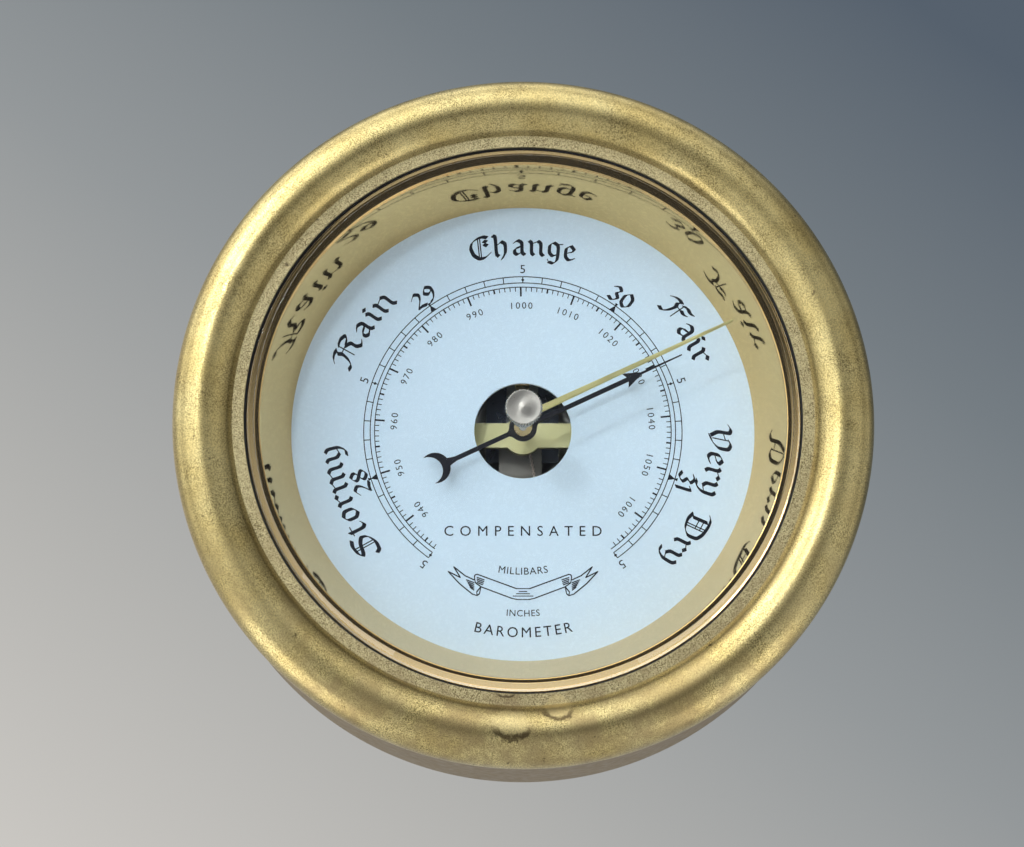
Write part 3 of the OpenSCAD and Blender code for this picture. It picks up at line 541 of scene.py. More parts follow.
def build_bezel():
    """Half-round ring with a flat lip inside, as in the frame but finely turned."""
    lip_angle = 180 - math.degrees(math.asin((LIP_H - BAND_H) / BAND_R))
    foot_angle = math.degrees(math.asin((SHOULDER_H - BAND_H) / BAND_R))
    inner_r = BAND_R - SHEET_T
    lip_root = BAND_C + BAND_R * math.cos(math.radians(lip_angle))
    lip_r = lip_root - LIP_W
    lip_foot = LIP_H - LIP_T
    lip = soften([(lip_r, LIP_H), (lip_r, lip_foot), (lip_root + 0.4, lip_foot), (lip_root, LIP_H)], 0.12)
    outline = arc(BAND_C, BAND_H, BAND_R, foot_angle, lip_angle, 64)
    outline += [p for p in lip if p[0] < lip_root - 0.2]
    outline += arc(BAND_C, BAND_H, inner_r, lip_angle + 6, foot_angle, 32)
    lathe("bezel", outline, FINISHES["aged_brass"], replaces=["bezel_ring"])


def build_drum():
    """Drum with a step at its front for the bezel and a ring at its back for the cover."""
    inner = DRUM_R - DRUM_WALL
    outline = [
        (DRUM_R, 0), (DRUM_R, SHOULDER_H), (inner, SHOULDER_H), (inner, DRUM_TOP),
        (inner - DRUM_WALL, DRUM_TOP), (inner - DRUM_WALL, SHOULDER_H - DRUM_WALL),
        (inner, SHOULDER_H - 2 * DRUM_WALL), (inner, COVER_T + DRUM_WALL),
        (inner - RIM_W, COVER_T + DRUM_WALL), (inner - RIM_W, COVER_T), (inner, COVER_T), (inner, 0)]
    # Its finish is brass painted dark, as painted shade under the bezel
    lathe("drum", soften(outline, 0.25), FINISHES["drum_brass_painted_shade"], replaces=["case_drum"])


def build_reflector():
    """Polished cone from the dial up to the glass, with a bead at its rim and a flange behind the glass."""
    slope = (REFLECTOR_TOP_R - DIAL_R) / (GLASS_FOOT - DIAL_TOP)
    step_drop = 1.1
    step_h = GLASS_FOOT - step_drop
    step_r = REFLECTOR_TOP_R - slope * step_drop
    bead = arc(REFLECTOR_TOP_R - 0.1, GLASS_FOOT - 0.42, 0.4, 200, 80, 8)
    outline = [
        (DIAL_R, DIAL_TOP), (step_r, step_h), (step_r + 0.25, step_h + 0.1), *bead, (GLASS_R, GLASS_FOOT),
        (GLASS_R, GLASS_FOOT - REFLECTOR_T), (REFLECTOR_TOP_R + REFLECTOR_T, GLASS_FOOT - REFLECTOR_T),
        (DIAL_R + REFLECTOR_T, DIAL_TOP)]
    lathe("reflector", soften(outline, 0.12), FINISHES["mirror_brass"],
          replaces=["reflector_ring"], sharp=50)


def build_glass():
    """Pane with a hole for the bush; its bevel is steep at the foot and flatter above."""
    lip_r = BAND_C - math.sqrt(BAND_R ** 2 - (LIP_H - BAND_H) ** 2) - LIP_W
    foot_r = lip_r - BEVEL_GAP
    outline = [
        (GLASS_HOLE_R, GLASS_FOOT), (GLASS_R, GLASS_FOOT), (GLASS_R, GLASS_RIM), (foot_r, GLASS_RIM),
        (foot_r - 0.3, GLASS_TOP - 0.9), (foot_r - BEVEL_W - 0.25, GLASS_TOP), (GLASS_HOLE_R, GLASS_TOP)]
    lathe("glass_pane", soften(outline, 0.08, 2), FINISHES["clear_glass"],
          replaces=["glass"], sharp=25)


def build_dial():
    """Flat disc with a round hole."""
    outline = [(HOLE_R, DIAL_FOOT), (DIAL_OUT_R, DIAL_FOOT), (DIAL_OUT_R, DIAL_TOP), (HOLE_R, DIAL_TOP)]
    lathe("dial_plate", soften(outline, 0.15), FINISHES["white_dial"], replaces=["dial"])


# ------------------------------------------------------------------ pointer and setting hand


def build_pointer():
    """Ring hub, shaft, arrowhead, thin tip and a crescent tail, drawn along +x and turned to the reading."""
    hub_r, collet_r = 3.0, 1.95
    half_w, tip_half = 0.5, 0.25
    tip, head_to, head_from, head_half = 38.0, 28.8, 24.4, 1.7
    horn_x, horn_y, back, front = 22.2, 3.03, 17.5, 19.3
    join = math.degrees(math.asin(half_w / hub_r))

    def bow(deepest):
        """Radius and middle of the circle through both horns and the deepest point, and the horns' angle."""
        sag = horn_x - deepest
        r = (horn_y ** 2 + sag ** 2) / (2 * sag)
        horn = math.degrees(math.asin(horn_y / r))
        return r, deepest + r, 180 - horn if sag > r else horn

    upper = [(tip, 0.12), (head_to - 0.6, tip_half), (head_from, head_half), (head_from + 0.6, half_w)]
    upper += [(hub_r + 0.5, half_w), (hub_r + 0.1, half_w + 0.25)]
    upper += arc(0, 0, hub_r, join + 16, 164 - join, 24)
    upper += [(-hub_r - 0.1, half_w + 0.25), (-hub_r - 0.5, half_w)]
    upper += [(-back + 1.6, half_w), (-back + 0.6, half_w + 0.2)]
    outer_r, outer_c, outer_horn = bow(back)
    inner_r, inner_c, inner_horn = bow(front)
    upper += arc(-outer_c, 0, outer_r, 16, outer_horn, 20)
    upper += arc(-inner_c, 0, inner_r, inner_horn, 0, 20)
    outline = upper + [(x, -y) for x, y in upper[-2::-1]]
    turn = math.radians(90 - POINTER_ANGLE)
    bm = bmesh.new()
    hole = arc(0, 0, collet_r, 0, 360, 48)[:-1]
    ring_slab(bm, outline, hole, POINTER_FOOT, POINTER_TOP)
    bmesh.ops.rotate(bm, verts=bm.verts, matrix=rotation(turn))
    bevelled(bm, 0.06)
    finish_piece(bm, "pointer_hand", FINISHES["black_paint"], "pointer", ["pointer"])


def rotation(angle):
    """Turn round the dial's axis."""
    return Matrix.Rotation(angle, 3, "Z")


def ring_slab(bm, outline, hole, foot, top):
    """Adds a plate with one hole."""
    verts, edges = [], []
    for loop in (outline, hole):
        first = len(verts)
        verts += [Vector(p) for p in loop]
        edges += [(first + i, first + (i + 1) % len(loop)) for i in range(len(loop))]
    flat, _, faces, _, _, _ = delaunay_2d_cdt(verts, edges, [], 3, 1e-5)
    low = [bm.verts.new((p.x, p.y, foot)) for p in flat]
    high = [bm.verts.new((p.x, p.y, top)) for p in flat]
    sides = set()
    for face in faces:
        bm.faces.new([high[v] for v in face])
        bm.faces.new([low[v] for v in reversed(face)])
        sides |= set(zip(face, face[1:] + face[:1]))
    for a, b in sides:
        if (b, a) not in sides:
            bm.faces.new((high[b], high[a], low[a], low[b]))


def bevelled(bm, width):
    """Takes the sharp edges off a plate."""
    bmesh.ops.dissolve_limit(bm, angle_limit=0.01, verts=bm.verts, edges=bm.edges)
    bmesh.ops.recalc_face_normals(bm, faces=bm.faces)
    edges = [e for e in bm.edges if len(e.link_faces) == 2 and e.calc_face_angle() > 1.2]
    rim = [e for e in edges if abs(e.verts[0].co.z - e.verts[1].co.z) < 1e-6]
    bmesh.ops.bevel(bm, geom=rim, offset=width, segments=2, affect="EDGES", clamp_overlap=True)


def build_set_hand():
    """Straight tapered needle with a rounded face, on a round hub."""
    foot, top = foot_of("set_hand"), top_of("set_hand")
    length, root_half, tip_half, hub_r, hole_r = 49.5, 0.75, 0.3, 2.2, 1.5
    turn = math.radians(90 - SET_ANGLE + SET_LEAN)
    bm = bmesh.new()
    root = math.degrees(math.asin(root_half / hub_r))
    outline = arc(0, 0, hub_r, root, 360 - root, 40)
    tip_from, point_half = length - 0.4, tip_half * 0.4
    outline += [(tip_from, -tip_half), (length, -point_half), (length, point_half), (tip_from, tip_half)]
    ring_slab(bm, outline, arc(0, 0, hole_r, 0, 360, 32)[:-1], foot, top)
    bevelled(bm, 0.22)
    bmesh.ops.rotate(bm, verts=bm.verts, matrix=rotation(turn))
    finish_piece(bm, "set_needle", FINISHES["needle_brass"], "set_hand", ["set_hand"])


# ------------------------------------------------------------------ dial print

# The print is a thin plate that stands just clear of the dial
PRINT_FOOT = DIAL_TOP + 0.004
PRINT_TOP = DIAL_TOP + 0.03
BOX_IN, BOX_OUT = 33.0, 34.4
MB_LINE = 32.05
LINE_W = 0.2
SCALE_END = 144
TENTHS = range(275, 316)
MILLIBARS = range(933, 1068)
MB_PER_INCH = 33.864


def band(r0, r1, start, end):
    """Part of a flat ring, between two clockwise angles."""
    facet = 1.5
    steps = max(2, int(abs(end - start) / facet))
    angles = [start + (end - start) * k / steps for k in range(steps + 1)]
    return [on_dial(r1, a) for a in angles] + [on_dial(r0, a) for a in reversed(angles)]


def bar(angle, r0, r1, w0, w1=None):
    """Radial bar, w0 wide at r0 and w1 at r1."""
    w1 = w0 if w1 is None else w1
    x, y = on_dial(1, angle)
    across = (y, -x)
    return [(x * r + across[0] * w / 2 * s, y * r + across[1] * w / 2 * s)
            for r, w, s in ((r0, w0, -1), (r0, w0, 1), (r1, w1, 1), (r1, w1, -1))]


def inch_angle(inches):
    """Place of an inch mark, in degrees clockwise from the top."""
    return (inches - MIDDLE_INCH) * INCH_TURN


def mb_angle(millibars):
    """Place of a millibar mark; 1000 stands a little to the left of the top."""
    return (millibars - 1000) * INCH_TURN / MB_PER_INCH - 0.8


def build_scale():
    """Inch scale as a double line with marks, and the millibar scale inside it."""
    shapes = [band(r - LINE_W / 2, r + LINE_W / 2, -SCALE_END, SCALE_END) for r in (BOX_IN, BOX_OUT, MB_LINE)]
    for tenth in TENTHS:
        angle = inch_angle(tenth / 10)
        shapes.append(bar(angle, BOX_IN, BOX_OUT, LINE_W))
        if tenth % 10 == 0:
            shapes.append(bar(angle, BOX_IN, BOX_OUT, 1.35, 0.1))
            shapes.append(bar(angle, BOX_OUT - 0.3, BOX_OUT + 0.6, 0.1, 0.7))
        elif tenth % 5 == 0:
            middle = (BOX_IN + BOX_OUT) / 2
            shapes.append([on_dial(BOX_IN + 0.3, angle), on_dial(middle, angle - 0.6),
                           on_dial(BOX_OUT - 0.3, angle), on_dial(middle, angle + 0.6)])
    for mb in MILLIBARS:
        length, width = (2.1, 0.38) if mb % 10 == 0 else (1.0, 0.36) if mb % 5 == 0 else (0.97, 0.18)
        shapes.append(bar(mb_angle(mb), MB_LINE - length, MB_LINE, width))
    bm = bmesh.new()
    slab(bm, shapes, PRINT_FOOT, PRINT_TOP)
    finish_piece(bm, "dial_scale", PRINT, "root")


# Each letter: how far it moves the pen on, its broad pen strokes and its hairlines. A stroke is a run of
# points, and the height of a small letter is 1.
GOTHIC = {
    "C": (1.06, [[(0.86, 1.62), (0.68, 1.80), (0.42, 1.70), (0.20, 1.40), (0.12, 0.90), (0.22, 0.38),
                  (0.46, 0.06), (0.72, 0.06), (0.94, 0.30)],
                 [(0.70, 1.30), (0.84, 1.16), (0.70, 0.98), (0.84, 0.84)]],
          [[(0.46, 1.60), (0.46, 0.22)], [(0.55, 1.62), (0.55, 0.16)]]),
    "R": (1.18, [[(0.00, 1.34), (0.08, 1.56), (0.26, 1.70), (0.40, 1.62)],
                 [(0.40, 1.62), (0.30, 1.34), (0.38, 0.92), (0.30, 0.40), (0.16, 0.08), (-0.02, 0.16)],
                 [(0.56, 1.66), (0.78, 1.78), (0.98, 1.52), (0.92, 1.18), (0.66, 0.98)],
                 [(0.66, 0.98), (0.86, 0.76), (0.84, 0.34), (0.98, 0.06), (1.12, 0.20)]],
          [[(0.55, 1.66), (0.55, 0.20)], [(0.30, 0.98), (0.66, 0.98)]]),
    "S": (1.02, [[(0.90, 1.50), (0.70, 1.76), (0.36, 1.72), (0.18, 1.46), (0.30, 1.18), (0.66, 0.94),
                  (0.88, 0.66), (0.80, 0.26), (0.46, 0.04), (0.12, 0.16), (0.04, 0.42)]],
          [[(0.46, 1.66), (0.46, 0.16)], [(0.56, 1.66), (0.56, 0.16)]]),
    "F": (0.98, [[(-0.02, 1.36), (0.08, 1.58), (0.26, 1.72), (0.42, 1.60)],
                 [(0.40, 1.62), (0.30, 1.30), (0.38, 0.90), (0.30, 0.40), (0.16, 0.08), (-0.02, 0.18)],
                 [(0.52, 1.60), (0.70, 1.76), (0.84, 1.62), (0.98, 1.72)],
                 [(0.60, 1.08), (0.74, 0.96), (0.86, 1.08)]],
          [[(0.54, 1.62), (0.54, 0.26)], [(0.28, 1.00), (0.70, 1.00)]]),
    "V": (1.12, [[(0.00, 1.46), (0.12, 1.70), (0.30, 1.56), (0.30, 0.56), (0.50, 0.12)],
                 [(0.60, 1.50), (0.76, 1.72), (0.96, 1.46), (0.98, 0.62), (0.76, 0.22), (0.50, 0.04)]],
          [[(0.60, 1.44), (0.60, 0.24)], [(0.30, 0.90), (0.60, 1.10)]]),
    "D": (1.20, [[(0.00, 1.42), (0.12, 1.66), (0.36, 1.72), (0.76, 1.60), (1.02, 1.24), (1.04, 0.52),
                  (0.80, 0.14), (0.40, 0.02), (0.12, 0.18)],
                 [(0.26, 1.44), (0.26, 0.28)]],
          [[(0.56, 1.62), (0.56, 0.12)], [(0.66, 1.60), (0.66, 0.14)], [(0.26, 1.06), (0.66, 1.06)],
           [(0.26, 0.72), (0.66, 0.72)]]),
    "a": (0.70, [[(0.12, 0.86), (0.26, 1.00), (0.44, 0.84), (0.44, 0.16), (0.56, 0.02)],
                 [(0.40, 0.58), (0.12, 0.42), (0.12, 0.16), (0.24, 0.02), (0.42, 0.20)]], []),
    "e": (0.60, [[(0.30, 1.00), (0.10, 0.80), (0.10, 0.22), (0.26, 0.02), (0.48, 0.20)],
                 [(0.30, 1.00), (0.46, 0.80), (0.38, 0.62)]], [[(0.42, 0.66), (0.12, 0.44)]]),
    "g": (0.68, [[(0.28, 1.00), (0.10, 0.82), (0.10, 0.28), (0.26, 0.08), (0.46, 0.26)],
                 [(0.28, 1.00), (0.48, 0.84), (0.48, -0.12), (0.32, -0.40), (0.10, -0.32)]],
          [[(0.10, -0.32), (0.04, -0.16)], [(0.48, 0.92), (0.66, 0.98)]]),
    "h": (0.76, [[(0.00, 1.72), (0.12, 1.58), (0.12, 0.16), (0.22, 0.02)],
                 [(0.34, 0.98), (0.52, 0.82), (0.52, 0.20), (0.36, -0.18)]], [[(0.12, 0.72), (0.36, 0.96)]]),
    "i": (0.36, [[(0.02, 0.96), (0.12, 0.84), (0.12, 0.16), (0.24, 0.02)], [(0.06, 1.44), (0.16, 1.32)]], []),
    "m": (1.16, [[(0.02, 0.96), (0.12, 0.84), (0.12, 0.16), (0.22, 0.02)],
                 [(0.38, 0.98), (0.52, 0.84), (0.52, 0.16), (0.62, 0.02)],
                 [(0.78, 0.98), (0.92, 0.84), (0.92, 0.16), (1.04, 0.02)]],
          [[(0.12, 0.76), (0.40, 0.96)], [(0.52, 0.76), (0.80, 0.96)]]),
    "n": (0.76, [[(0.02, 0.96), (0.12, 0.84), (0.12, 0.16), (0.22, 0.02)],
                 [(0.38, 0.98), (0.52, 0.84), (0.52, 0.16), (0.64, 0.02)]], [[(0.12, 0.76), (0.40, 0.96)]]),
    "o": (0.66, [[(0.28, 1.00), (0.10, 0.82), (0.10, 0.22), (0.28, 0.02)],
                 [(0.28, 1.00), (0.48, 0.82), (0.48, 0.22), (0.28, 0.02)]], []),
    "r": (0.56, [[(0.02, 0.96), (0.12, 0.84), (0.12, 0.16), (0.22, 0.02)], [(0.34, 0.98), (0.46, 0.84)]],
          [[(0.12, 0.76), (0.36, 0.96)]]),
    "t": (0.48, [[(0.12, 1.24), (0.12, 0.18), (0.24, 0.02), (0.36, 0.14)]], [[(-0.02, 0.96), (0.36, 0.96)]]),
    "y": (0.72, [[(0.02, 0.96), (0.12, 0.84), (0.12, 0.26), (0.26, 0.08)],
                 [(0.40, 0.98), (0.52, 0.84), (0.52, 0.10), (0.34, -0.34), (0.12, -0.36)]],
          [[(0.26, 0.08), (0.52, 0.28)]]),
    " ": (0.60, [], []),
}
# Scale figures in the same hand; their height is 1
FIGURES = {
    "0": (0.62, [[(0.30, 1.00), (0.08, 0.76), (0.08, 0.26), (0.30, 0.02), (0.52, 0.26), (0.52, 0.76),
                  (0.30, 1.00)]], []),
    "1": (0.36, [[(0.04, 0.86), (0.18, 0.98), (0.18, 0.02)]], []),
    "2": (0.60, [[(0.06, 0.78), (0.26, 1.00), (0.48, 0.80), (0.40, 0.50), (0.08, 0.06), (0.30, 0.10),
                  (0.54, 0.02)]], []),
    "3": (0.58, [[(0.06, 0.86), (0.26, 1.00), (0.46, 0.80), (0.26, 0.56), (0.50, 0.32), (0.28, 0.00),
                  (0.04, 0.14)]], []),
    "8": (0.60, [[(0.28, 1.00), (0.08, 0.80), (0.10, 0.62), (0.50, 0.34), (0.50, 0.18), (0.28, 0.00),
                  (0.06, 0.20), (0.10, 0.38), (0.46, 0.64), (0.46, 0.82), (0.28, 1.00)]], []),
    "9": (0.60, [[(0.44, 0.60), (0.26, 0.48), (0.06, 0.68), (0.26, 1.00), (0.50, 0.80), (0.50, 0.44),
                  (0.34, 0.10), (0.10, 0.00)]], []),
}
# The weather words: angle of the middle, radius of the foot, length
WORDS = {
    "Change": (0, 39.3, 23.6),
    "Rain": (-56.6, 39.6, 19),
    "Stormy": (-112.4, 39.6, 26),
    "Fair": (58.3, 40.2, 16),
    "Very Dry": (111, 40.2, 33),
}
NIB_ANGLE = 40
NIB_THICKNESS = 0.15
HAIRLINE = 0.17
LETTER_GAP = 0.03
# How much of a letter's height above 1 is drawn
ASCENDERS = 0.6


def stroke(points, width, thickness, angle=NIB_ANGLE):
    """The marks a flat nib leaves along a run of points."""
    c, s = math.cos(math.radians(angle)), math.sin(math.radians(angle))
    corners = ((-width, -thickness), (width, -thickness), (width, thickness), (-width, thickness))
    nib = [((w * c - t * s) / 2, (w * s + t * c) / 2) for w, t in corners]
    return [hull([(p[0] + n[0], p[1] + n[1]) for p in pair for n in nib]) for pair in zip(points, points[1:])]


def rounded(points, steps=3):
    """Run of points with its inner corners eased into short curves."""
    out = [points[0]]
    for before, here, after in zip(points, points[1:], points[2:]):
        a = Vector(here).lerp(Vector(before), 0.3)
        b = Vector(here).lerp(Vector(after), 0.3)
        for k in range(steps + 1):
            t = k / steps
            out.append(tuple(a * (1 - t) ** 2 + Vector(here) * 2 * t * (1 - t) + b * t * t))
    return out + [points[-1]]


def lettering(text, letters, height, width, nib):
    """Outlines of a line of pen letters `width` long, centred on x = 0 with its foot at y = 0."""
    total = sum(letters[letter][0] + LETTER_GAP for letter in text) - LETTER_GAP
    stretch = width / total

    def at(pen, run):
        rise = [min(y, 1) + max(y - 1, 0) * ASCENDERS for _, y in run]
        return [((pen + x - total / 2) * stretch, up * height) for (x, _), up in zip(run, rise)]

    shapes, pen = [], 0.0
    for letter in text:
        advance, thick, thin = letters[letter]
        for run in thick:
            shapes += stroke(rounded(at(pen, run)), nib, NIB_THICKNESS)
        for run in thin:
            shapes += stroke(at(pen, run), HAIRLINE, HAIRLINE)
        pen += advance + LETTER_GAP
    return shapes


def round_the_top(angle, r):
    """Bends flat lettering round the dial with its tops outward."""
    def bend(x, y):
        turn = math.radians(angle) + x / (r + y / 2)
        return ((r + y) * math.sin(turn), (r + y) * math.cos(turn))
    return bend


def upright(r):
    """Bends flat lettering round the foot of the dial with its tops inward; y is measured from radius r."""
    def bend(x, y):
        turn = x / r
        return ((r - y) * math.sin(turn), -(r - y) * math.cos(turn))
    return bend


def figures_at(angle, r):
    """Puts lettering at an angle with its tops outward, without bending it."""
    def bend(x, y):
        a = math.radians(angle)
        return ((r + y) * math.sin(a) + x * math.cos(a), (r + y) * math.cos(a) - x * math.sin(a))
    return bend


def print_piece(name, rows):
    """One printed piece from rows of outlines, each with the way it is bent onto the dial."""
    bm = bmesh.new()
    for shapes, bend in rows:
        slab(bm, shapes, PRINT_FOOT, PRINT_TOP, bend)
    finish_piece(bm, name, PRINT, "root")


def build_words():
    height, nib = 3.4, 0.82
    print_piece("dial_words", [
        (lettering(word, GOTHIC, height, width, nib), round_the_top(angle, foot_r))
        for word, (angle, foot_r, width) in WORDS.items()])


def build_figures():
    """Figures at the whole inches."""
    height, letter_w, nib, foot_r = 3.6, 4.5, 0.75, 34.95
    rows = []
    for inches in (28, 29, 30, 31):
        text = str(inches)
        width = letter_w * sum(FIGURES[figure][0] + LETTER_GAP for figure in text)
        shapes = lettering(text, FIGURES, height, width, nib)
        rows.append((shapes, figures_at(inch_angle(inches), foot_r)))
    print_piece("dial_figures", rows)


def sans(text, cap, spacing):
    """Verts and faces of a line of plain capitals or figures, centred on x = 0, their height `cap`."""
    curve = bpy.data.curves.new("line_of_type", "FONT")
    curve.body = text
    curve.align_x = "CENTER"
    curve.space_character = spacing
    curve.resolution_u = 3
    holder = bpy.data.objects.new("line_of_type", curve)
    mesh = bpy.data.meshes.new_from_object(holder)
    bm = bmesh.new()
    bm.from_mesh(mesh)
    bmesh.ops.remove_doubles(bm, verts=bm.verts, dist=1e-5)
    low, high = min(v.co.y for v in bm.verts), max(v.co.y for v in bm.verts)
    scale = cap / (high - low)
    for vert in bm.verts:
        vert.co = (vert.co.x * scale, (vert.co.y - low) * scale, 0)
    bpy.data.objects.remove(holder)
    bpy.data.curves.remove(curve)
    bpy.data.meshes.remove(mesh)
    return bm


def type_line(target, text, cap, bend, spacing=1.0):
    """Adds a line of plain type to the target as a thin raised plate."""
    flat = sans(text, cap, spacing)
    pairs = {}
    for vert in flat.verts:
        x, y = bend(vert.co.x, vert.co.y)
        pairs[vert] = (target.verts.new((x, y, PRINT_FOOT)), target.verts.new((x, y, PRINT_TOP)))
    for face in flat.faces:
        target.faces.new([pairs[v][1] for v in face.verts])
        target.faces.new([pairs[v][0] for v in reversed(face.verts)])
    for edge in flat.edges:
        if len(edge.link_faces) == 1:
            a, b = edge.verts
            target.faces.new((pairs[a][0], pairs[b][0], pairs[b][1], pairs[a][1]))
    flat.free()


def straight(y):
    """Leaves flat lettering straight, with its foot at y."""
    return lambda u, v: (u, v + y)


def build_type():
    """Plain figures of the scales and the captions in the lower half of the dial."""
    bm = bmesh.new()
    for mb in range(940, 1061, 10):
        type_line(bm, str(mb), 1.45, round_the_top(mb_angle(mb), 27.2), 1.3)
    for half in (27.5, 28.5, 29.5, 30.5, 31.5):
        type_line(bm, "5", 1.85, figures_at(inch_angle(half), 35.2))
    type_line(bm, "COMPENSATED", 2.2, straight(-23.1), 1.75)
    type_line(bm, "MILLIBARS", 1.55, upright(31.5), 1.1)
    type_line(bm, "INCHES", 1.4, upright(40.5), 1.1)
    type_line(bm, "BAROMETER", 2.2, upright(45.0), 1.3)
    finish_piece(bm, "dial_type", PRINT, "root")


def build_ribbon():
    """Plain printed ribbon with two forked tails."""
    line = 0.19
    runs = [[(-1.4, -34.5), (1.4, -34.5)], [(-2.4, -36.6), (-1.2, -36.85), (1.2, -36.85), (2.4, -36.6)]]
    for side in (-1, 1):
        # The band to its fold, the tail, the fold, and short lines of shading
        half = [
            [(1.4, -34.5), (9.8, -31.4), (10.2, -31.5), (10.4, -31.9), (10.2, -33.2), (9.0, -34.1),
             (2.4, -36.6)],
            [(10.5, -32.6), (12.4, -31.7), (14.8, -29.8), (13.4, -32.1), (16.0, -30.8), (13.6, -33.4),
             (10.8, -35.7), (9.8, -36.0), (9.3, -35.6), (9.0, -34.1)],
            [(9.0, -34.1), (9.9, -35.2), (9.8, -36.0)]]
        half += [[(8.3 + 0.1 * k, -32.6 - 0.36 * k), (9.8, -32.1 - 0.36 * k)] for k in range(4)]
        half += [[(10.5, -33.2 - 0.4 * k), (12.1 - 0.2 * k, -32.6 - 0.4 * k)] for k in range(5)]
        runs += [[(side * x, y) for x, y in run] for run in half]
    runs += [[(-w, y), (w, y)] for w, y in ((0.8, -35.1), (1.4, -35.6), (2.1, -36.1))]
    shapes = []
    for run in runs:
        shapes += stroke(run, line, line, 0)
    print_piece("dial_ribbon", [(shapes, straight(0))])


# ------------------------------------------------------------------ knob, its fittings, chain and mainspring


def build_knob():
    """Knurled disc on a narrower neck, its face turned, slightly sunk and with a small centre cone."""
    foot, top = foot_of("set_knob"), top_of("set_knob")
    knob_r, neck_r, disc_t, rim_w, sunk, cone_r, cone_h = 3.93, 2.5, 2.2, 0.45, 0.12, 1.0, 0.3
    ridges, ridge_d, per_ridge = 40, 0.36, 8
    disc_foot, face = top - disc_t, top - sunk - cone_h * 0.4
    # radius, height and how much of the knurling shows there
    outline = [(0, foot, 0), (neck_r, foot, 0), (neck_r, disc_foot - 0.2, 0), (neck_r + 0.2, disc_foot, 0),
               (knob_r - 0.45, disc_foot, 0), (knob_r - 0.1, disc_foot + 0.15, 0.9),
               (knob_r, disc_foot + 0.35, 1), (knob_r, top - 0.42, 1), (knob_r - 0.12, top - 0.3, 0.9),
               (knob_r - 0.32, top - 0.22, 0),
               (knob_r - rim_w, top - 0.2, 0), (knob_r - rim_w - 0.12, face, 0), (cone_r + 0.15, face, 0),
               (cone_r, face + 0.03, 0), (0.1, top - 0.02, 0), (0, top, 0)]
    bm = bmesh.new()
    steps = ridges * per_ridge
    rings = []
    for i in range(steps):
        a = 2 * math.pi * i / steps
        groove = (0.5 + 0.5 * math.cos(2 * math.pi * i / per_ridge)) ** 0.7
        points = [(r - ridge_d * groove * k, h) for r, h, k in outline]
        rings.append([bm.verts.new((r * math.cos(a), r * math.sin(a), h)) for r, h in points])
    for ring, following in zip(rings, rings[1:] + rings[:1]):
        for j in range(len(outline) - 1):
            bm.faces.new((ring[j], ring[j + 1], following[j + 1], following[j]))
    bmesh.ops.remove_doubles(bm, verts=bm.verts, dist=1e-5)
    finish_piece(bm, "knob", FINISHES["turned_nickel"], "set_hand", ["set_knob"], sharp=35)


def build_stack():
    """Turned pieces that hold the setting hand in the glass, slim enough to hide behind the knob."""
    stem_r, play = 1.5, 0.1
    flange_foot, flange_top = GLASS_TOP, top_of("glass_bush")

    def sleeve(name, body, node, bore_r, r, flange_r=None):
        """Sleeve as high as a node, with or without a flange in front of the glass."""
        steps = [(r, foot_of(node), flange_foot if flange_r else top_of(node))]
        if flange_r:
            steps.append((flange_r, flange_foot, flange_top))
        outline = [(bore_r, foot_of(node))]
        for out_r, low, high in steps:
            outline += [(out_r, low), (out_r, high)]
        outline.append((bore_r, top_of(node)))
        lathe(name, soften(outline, 0.1, 2), FINISHES["nickel"], body, [node], steps=96)

    bush_r = GLASS_HOLE_R
    sleeve("bush", "root", "glass_bush", stem_r + play, bush_r, 2.6)
    sleeve("bush_ring", "root", "bush_nut", bush_r, 2.5)
    sleeve("washer", "set_hand", "set_washer", stem_r, 1.9)
    sleeve("end_nut", "set_hand", "set_nut", stem_r, 2.0)


def build_chain():
    """Fine two-strand twisted chain from the drum to the rocker's long arm."""
    start, end = Vector((1.15, -0.2, 0)), Vector((5.15, -23.1, 0))
    h, strand_r, lay_r, pitch = 20.5, 0.16, 0.21, 1.9
    length = (end - start).length
    along = (end - start).normalized()
    across = Vector((-along.y, along.x, 0))
    up = Vector((0, 0, 1))
    bm = bmesh.new()
    sides = 8
    steps = int(length / pitch * 12)

    def away(turn, r):
        """Step square to the chain."""
        return (across * math.cos(turn) + up * math.sin(turn)) * r

    for phase in (0, math.pi):
        rings = []
        for i in range(steps + 1):
            turn = 2 * math.pi * length * i / steps / pitch + phase
            centre = start + along * length * i / steps + away(turn, lay_r) + up * h
            turns = [2 * math.pi * k / sides for k in range(sides)]
            rings.append([bm.verts.new(centre + away(side, strand_r)) for side in turns])
        for ring, following in zip(rings, rings[1:]):
            for k in range(sides):
                n = (k + 1) % sides
                bm.faces.new((ring[k], ring[n], following[n], following[k]))
        bm.faces.new(rings[0][::-1])
        bm.faces.new(rings[-1])
    piece = finish_piece(bm, "twisted_chain", FINISHES["chain_metal"], None, ["chain"],
                         sharp=60)
    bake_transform(piece)


def build_mainspring():
    """A copy of the CAD's mainspring in spring steel, standing in for the frame's own."""
    piece = bpy.data.objects.new("bending_mainspring", frame["nodes"]["mainspring"].data.copy())
    bpy.context.scene.collection.objects.link(piece)
    piece.data.materials.clear()
    piece.data.materials.append(FINISHES["spring_steel"])
    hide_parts("mainspring")
    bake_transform(piece)


# ------------------------------------------------------------------ light, camera and stage


